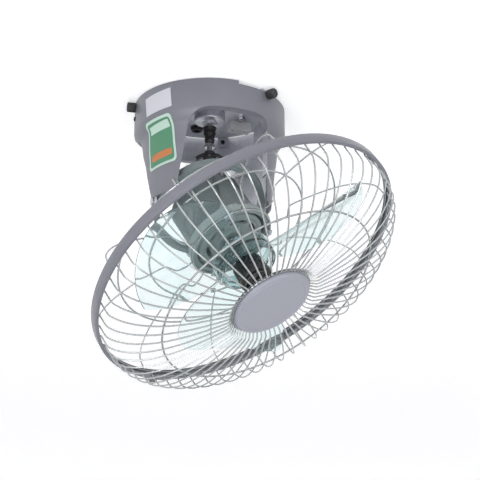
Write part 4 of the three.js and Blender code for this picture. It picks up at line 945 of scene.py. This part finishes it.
class FAN_OT_motor(bpy.types.Operator):
    """Makes the smooth motor shell, tail pin and orbit drive turnings"""
    bl_idname = "fan.motor"
    bl_label = "Motor"

    def execute(self, context):
        profile = [(50, -44), (51.6, -44), (52, -44.4), (52, -117), (51.6, -119.5), (50.2, -122), (47.6, -124.2),
                   (43, -126.8), (38, -129), (34, -130.6), (30, -131.6), (24, -132), (0, -132), (0, -129.5),
                   (13.3, -129.5), (13.3, -112), (16.8, -112), (16.8, -129.5), (30, -129.5), (36.5, -126.8),
                   (46.6, -122), (50, -117)]
        points, faces = lathe(profile, 128)
        new_object("motor_shell", points, faces, HEAD, "motor_enamel", "head_body", ["motor_rear_shell"],
                   30)
        profile = [(0, -132.3), (10.6, -132.3), (11, -132.7), (11, -134.4), (10, -134.9), (5, -137.3), (3.4, -139),
                   (3, -141), (3, -161)]
        profile += [(4 * math.cos(math.radians(a)), -164 - 4 * math.sin(math.radians(a)))
                    for a in (-40, -20, 0, 20, 40, 60, 75)] + [(0, -168)]
        points, faces = lathe(profile, 48)
        new_object("tail_pin_turning", points, faces, HEAD, "turned_steel", "head_body", ["tail_pin"], 30)
        profile = [(0, -24), (9.4, -24), (10, -23.5), (10.8, -20.6), (12, -20), (19.4, -20), (21, -19.4),
                   (22, -18), (22, -8), (21.6, -5.6), (0, -5.6)]
        points, faces = lathe(profile, 72)
        new_object("drive_motor_can", points, faces, CANOPY, "zinc_plate", "canopy_body", ["orbit_gear_motor"],
                   30)
        profile = [(4.3, -52), (6, -52), (6.6, -51.2), (7.4, -46.5), (7.0, -44.4), (6.9, -43), (8.9, -38),
                   (8.9, -36.6), (8.4, -34.6), (8.5, -33), (10, -28.8), (9.6, -28), (4.3, -28)]
        points, faces = lathe(profile, 64)
        new_object("drive_boot", points, faces, CANOPY, "dark_plastic", "crank_body", ["crank_boot"],
                   30)
        profile = [(5.3, 6.3), (20.8, 6.3), (21.5, 7.0), (21.7, 12), (22.0, 18), (22.4, 25), (22.6, 29), (23.5, 29.8),
                   (23.6, 30.6), (23.6, 35), (23.1, 36.6), (21.5, 38), (18.4, 38), (17, 37.6), (15.6, 34.5),
                   (14.6, 33), (5.3, 33)]
        points, faces = wheel_profile(profile, 160, 20, 0.9, (6.9, 29.2, 20.0))
        new_object("spinner_cap", points, faces, HEAD, "nut_plastic", "rotor_body", ["spinner_nut"],
                   30)
        return {"FINISHED"}


# Rotor

BLADE_COUNT = 3
HUB_RADIUS = 43.0


def blade_point(span, chord, tip=190.0):
    """A point of one blade's middle surface: span runs out from the hub, chord from rear to front edge."""
    corner = abs(2 * chord - 1) ** 7
    radius = 40.8 + (tip - 12 * corner - 40.8) * span
    x = max((radius - 46) / 138, 0)
    front_turn = 47 - 16 * x ** 1.5
    rear_turn = -36 + 27 * x ** 2.2
    front_z = min(14 + 36 * x * (1.6 - 0.6 * x), 50)
    rear_z = -3 - 3 * x
    camber = 1.5 + 1.5 * min(x, 1)
    turn = rear_turn + (front_turn - rear_turn) * chord - 211.5
    return Vector(around(radius, turn, rear_z + (front_z - rear_z) * chord ** camber))


def blade_mesh(spin):
    spans, chords = 42, 34
    thick = sizes().blade_thickness / MM
    points = []
    for face in (-1, 1):
        for i in range(spans + 1):
            for j in range(chords + 1):
                s, c = i / spans, j / chords
                along = blade_point(min(s + 0.01, 1), c) - blade_point(max(s - 0.01, 0), c)
                across = blade_point(s, min(c + 0.01, 1)) - blade_point(s, max(c - 0.01, 0))
                normal = along.cross(across).normalized()
                edge = max(abs(2 * c - 1) ** 14, s ** 24)
                half = thick / 2 * (1 - 0.55 * edge)
                points.append(spin @ (blade_point(s, c) + normal * face * half))
    return points, sheet_faces(chords, spans)


class FAN_OT_rotor(bpy.types.Operator):
    """Makes the clear moulded hub and blades as one piece"""
    bl_idname = "fan.rotor"
    bl_label = "Blade Wheel"

    def execute(self, context):
        profile = [(5.3, -34), (13.6, -34), (14, -33.5), (14, -3), (15, -2), (39.7, -2), (40.5, -11.6), (41, -12),
                   (42.6, -12), (43, -11.5), (42.1, 2), (41, 13.6), (40.6, 14), (39, 14), (38.6, 13.5), (39.2, 2),
                   (38.2, 1), (15, 1), (14, 2), (12.4, 5.6), (12, 6), (5.3, 6)]
        wheel = scratch(*lathe(profile, 120), HEAD)
        keep = [(39.7, -60), (250, -60), (250, 80), (39.7, 80)]
        for i in range(BLADE_COUNT):
            spin = Matrix.Rotation(TURN * i / BLADE_COUNT, 4, "Z")
            blade = scratch(*blade_mesh(spin), HEAD)
            boolean(blade, [scratch(*lathe(keep, 120), HEAD)], "INTERSECT")
            boolean(wheel, [blade], "UNION")
        moulding = place_mesh("clear_blade_wheel", take_mesh(wheel), "clear_blue", "rotor_body", ["blade_wheel"],
                              40)
        second_finish(moulding, "clear_hub", lambda spot, facing: (TO_HEAD @ spot).xy.length < HUB_RADIUS + 0.2)
        return {"FINISHED"}


# CAD nodes that keep their shape

CARRIED = {
    "zinc_plate": ["ceiling_plate", "u_bracket", "guard_clamp_1", "guard_clamp_2", "guard_clamp_3"],
    "turned_steel": ["bracket_bolt_1", "bracket_bolt_2", "outer_pin_1", "outer_pin_2", "crank_shaft", "crank_nut",
                     "inner_pin_1", "inner_pin_2", "inner_nut_1", "inner_nut_2", "motor_bearing_1",
                     "motor_bearing_2", "clamp_screw_1", "clamp_screw_2", "clamp_screw_3", "hoop_screw", "hoop_nut",
                     "badge_nut", "guard_latch", "motor_shaft", "rotor_core"],
    "dark_plastic": ["capacitor", "cable_grommet", "crank_bow", "crank_arm"],
    "pale_plastic": ["terminal_block"],
    "bronze": ["ring_bush_1", "ring_bush_2", "ring_bush_3", "ring_bush_4"],
    "winding": ["motor_stator"],
}


class FAN_OT_carried(bpy.types.Operator):
    """Gives the pieces that keep their drawn shape their finishes"""
    bl_idname = "fan.carried"
    bl_label = "Carried Pieces"

    def execute(self, context):
        for material, names in CARRIED.items():
            for name in names:
                mesh = frame["nodes"][name].data
                mesh.materials.clear()
                mesh.materials.append(finish(material))
        return {"FINISHED"}


# Stage

CAMERA_PLACE = (-0.5117, -1.5329, -0.7264)
CAMERA_TARGET = (0.0408, -0.0149, -0.1969)
LAMP_TARGET = (0, 0, -0.2)
KEY_PLACE = (-1.3, -1.5, -0.75)
FILL_PLACE = (0.9, -1.5, -1.1)
CEILING_HEIGHT = 0.0006
FLOOR_HEIGHT = -1.9
WORLD_LIGHT = 0.75


def seen_ray(tree):
    """1 for the rays that show the background itself or in a reflection, and 0 for those that light the object."""
    rays = tree.nodes.new("ShaderNodeLightPath").outputs
    seen = reckon(tree, "MAXIMUM", rays["Is Camera Ray"], rays["Is Transmission Ray"])
    return reckon(tree, "MAXIMUM", seen, rays["Is Glossy Ray"])


def background_material(name, shade, one_sided):
    """A pale matt surface that keeps the object's shadow and shows white where nothing shades it."""
    made = bpy.data.materials.new(name)
    made.use_nodes = True
    tree = made.node_tree
    surface = tree.nodes["Principled BSDF"]
    surface.inputs["Roughness"].default_value = 0.9
    surface.inputs["Specular IOR Level"].default_value = 0.1
    mottle = noise(tree, object_place(tree), 30.0, 4.0)
    dim = tuple(c * 0.985 for c in tuple(shade)[:3]) + (1,)
    tree.links.new(mix_colour(tree, mottle, tuple(shade), dim), surface.inputs["Base Color"])
    lift = reckon(tree, "MULTIPLY", seen_ray(tree), stage_settings().backdrop_lift)
    surface.inputs["Emission Color"].default_value = (1, 1, 1, 1)
    tree.links.new(lift, surface.inputs["Emission Strength"])
    if one_sided:
        behind = add_node(tree, "ShaderNodeNewGeometry").outputs["Backfacing"]
        clear = tree.nodes.new("ShaderNodeBsdfTransparent")
        blend = tree.nodes.new("ShaderNodeMixShader")
        tree.links.new(behind, blend.inputs[0])
        tree.links.new(surface.outputs[0], blend.inputs[1])
        tree.links.new(clear.outputs[0], blend.inputs[2])
        tree.links.new(blend.outputs[0], tree.nodes["Material Output"].inputs["Surface"])
    return made


def plane(name, size, z, facing_down, material):
    half = size / 2
    corners = [(-half, -half, z), (half, -half, z), (half, half, z), (-half, half, z)]
    mesh = bpy.data.meshes.new(name)
    mesh.from_pydata(corners, [], [[3, 2, 1, 0] if facing_down else [0, 1, 2, 3]])
    made = bpy.data.objects.new(name, mesh)
    bpy.context.scene.collection.objects.link(made)
    mesh.materials.append(material)
    return made


def aim(made, place, target):
    made.location = place
    made.rotation_euler = (Vector(target) - Vector(place)).to_track_quat("-Z", "Y").to_euler()


def lamp(name, place, size, power):
    data = bpy.data.lights.new(name, "AREA")
    data.energy = power
    data.size = size
    made = bpy.data.objects.new(name, data)
    bpy.context.scene.collection.objects.link(made)
    aim(made, place, LAMP_TARGET)


class FAN_OT_stage(bpy.types.Operator):
    """Makes the camera, ceiling, floor, lamps and world"""
    bl_idname = "fan.stage"
    bl_label = "Stage"

    def execute(self, context):
        settings = stage_settings()
        scene = context.scene
        data = bpy.data.cameras.new("camera")
        data.lens = settings.lens
        data.sensor_width = 36.0
        data.clip_end = 50.0
        camera = bpy.data.objects.new("camera", data)
        scene.collection.objects.link(camera)
        aim(camera, CAMERA_PLACE, CAMERA_TARGET)
        scene.camera = camera
        plane("ceiling", 8.0, CEILING_HEIGHT, True, background_material("ceiling_plaster", settings.backdrop, True))
        plane("floor", 12.0, FLOOR_HEIGHT, False, background_material("floor_board", settings.backdrop, False))
        lamp("key", KEY_PLACE, 1.0, settings.key_power)
        lamp("fill", FILL_PLACE, 1.4, settings.fill_power)
        world = scene.world or bpy.data.worlds.new("world")
        scene.world = world
        world.use_nodes = True
        tree = world.node_tree
        tree.nodes.clear()
        soft = add_node(tree, "ShaderNodeBackground", [("Color", (1, 1, 1, 1)), ("Strength", WORLD_LIGHT)])
        white = add_node(tree, "ShaderNodeBackground", [("Color", (1, 1, 1, 1)), ("Strength", 1.0)])
        blend = tree.nodes.new("ShaderNodeMixShader")
        for socket, value in zip(blend.inputs, (seen_ray(tree), soft.outputs[0], white.outputs[0])):
            tree.links.new(value, socket)
        out = tree.nodes.new("ShaderNodeOutputWorld")
        tree.links.new(blend.outputs[0], out.inputs["Surface"])
        scene.view_settings.view_transform = "Standard"
        return {"FINISHED"}


OPERATORS = [
    FAN_OT_stage, FAN_OT_canopy, FAN_OT_labels, FAN_OT_side_screw, FAN_OT_thumb_screws, FAN_OT_front_guard,
    FAN_OT_rear_guard, FAN_OT_badge, FAN_OT_hoop, FAN_OT_gimbal, FAN_OT_cradle, FAN_OT_motor, FAN_OT_rotor,
    FAN_OT_carried,
]


class FAN_PT_panel(bpy.types.Panel):
    bl_idname = "FAN_PT_panel"
    bl_label = "Ceiling Fan"
    bl_space_type = "VIEW_3D"
    bl_region_type = "UI"
    bl_category = "Ceiling Fan"

    def draw(self, context):
        for group in (sizes(), colours(), stage_settings()):
            box = self.layout.box()
            for name in group.__annotations__:
                box.prop(group, name)
        for operator in OPERATORS:
            self.layout.operator(operator.bl_idname)


CLASSES = [FanSizes, FanColours, StageSettings, *OPERATORS, FAN_PT_panel]


def register():
    for cls in CLASSES:
        bpy.utils.register_class(cls)
    bpy.types.Scene.fan_sizes = bpy.props.PointerProperty(type=FanSizes)
    bpy.types.Scene.fan_colours = bpy.props.PointerProperty(type=FanColours)
    bpy.types.Scene.fan_stage = bpy.props.PointerProperty(type=StageSettings)


def unregister():
    del bpy.types.Scene.fan_stage
    del bpy.types.Scene.fan_colours
    del bpy.types.Scene.fan_sizes
    for cls in reversed(CLASSES):
        bpy.utils.unregister_class(cls)


def main():
    register()
    for operator in OPERATORS:
        getattr(bpy.ops.fan, operator.bl_idname.split(".")[1])()


if __name__ == "__main__":
    main()
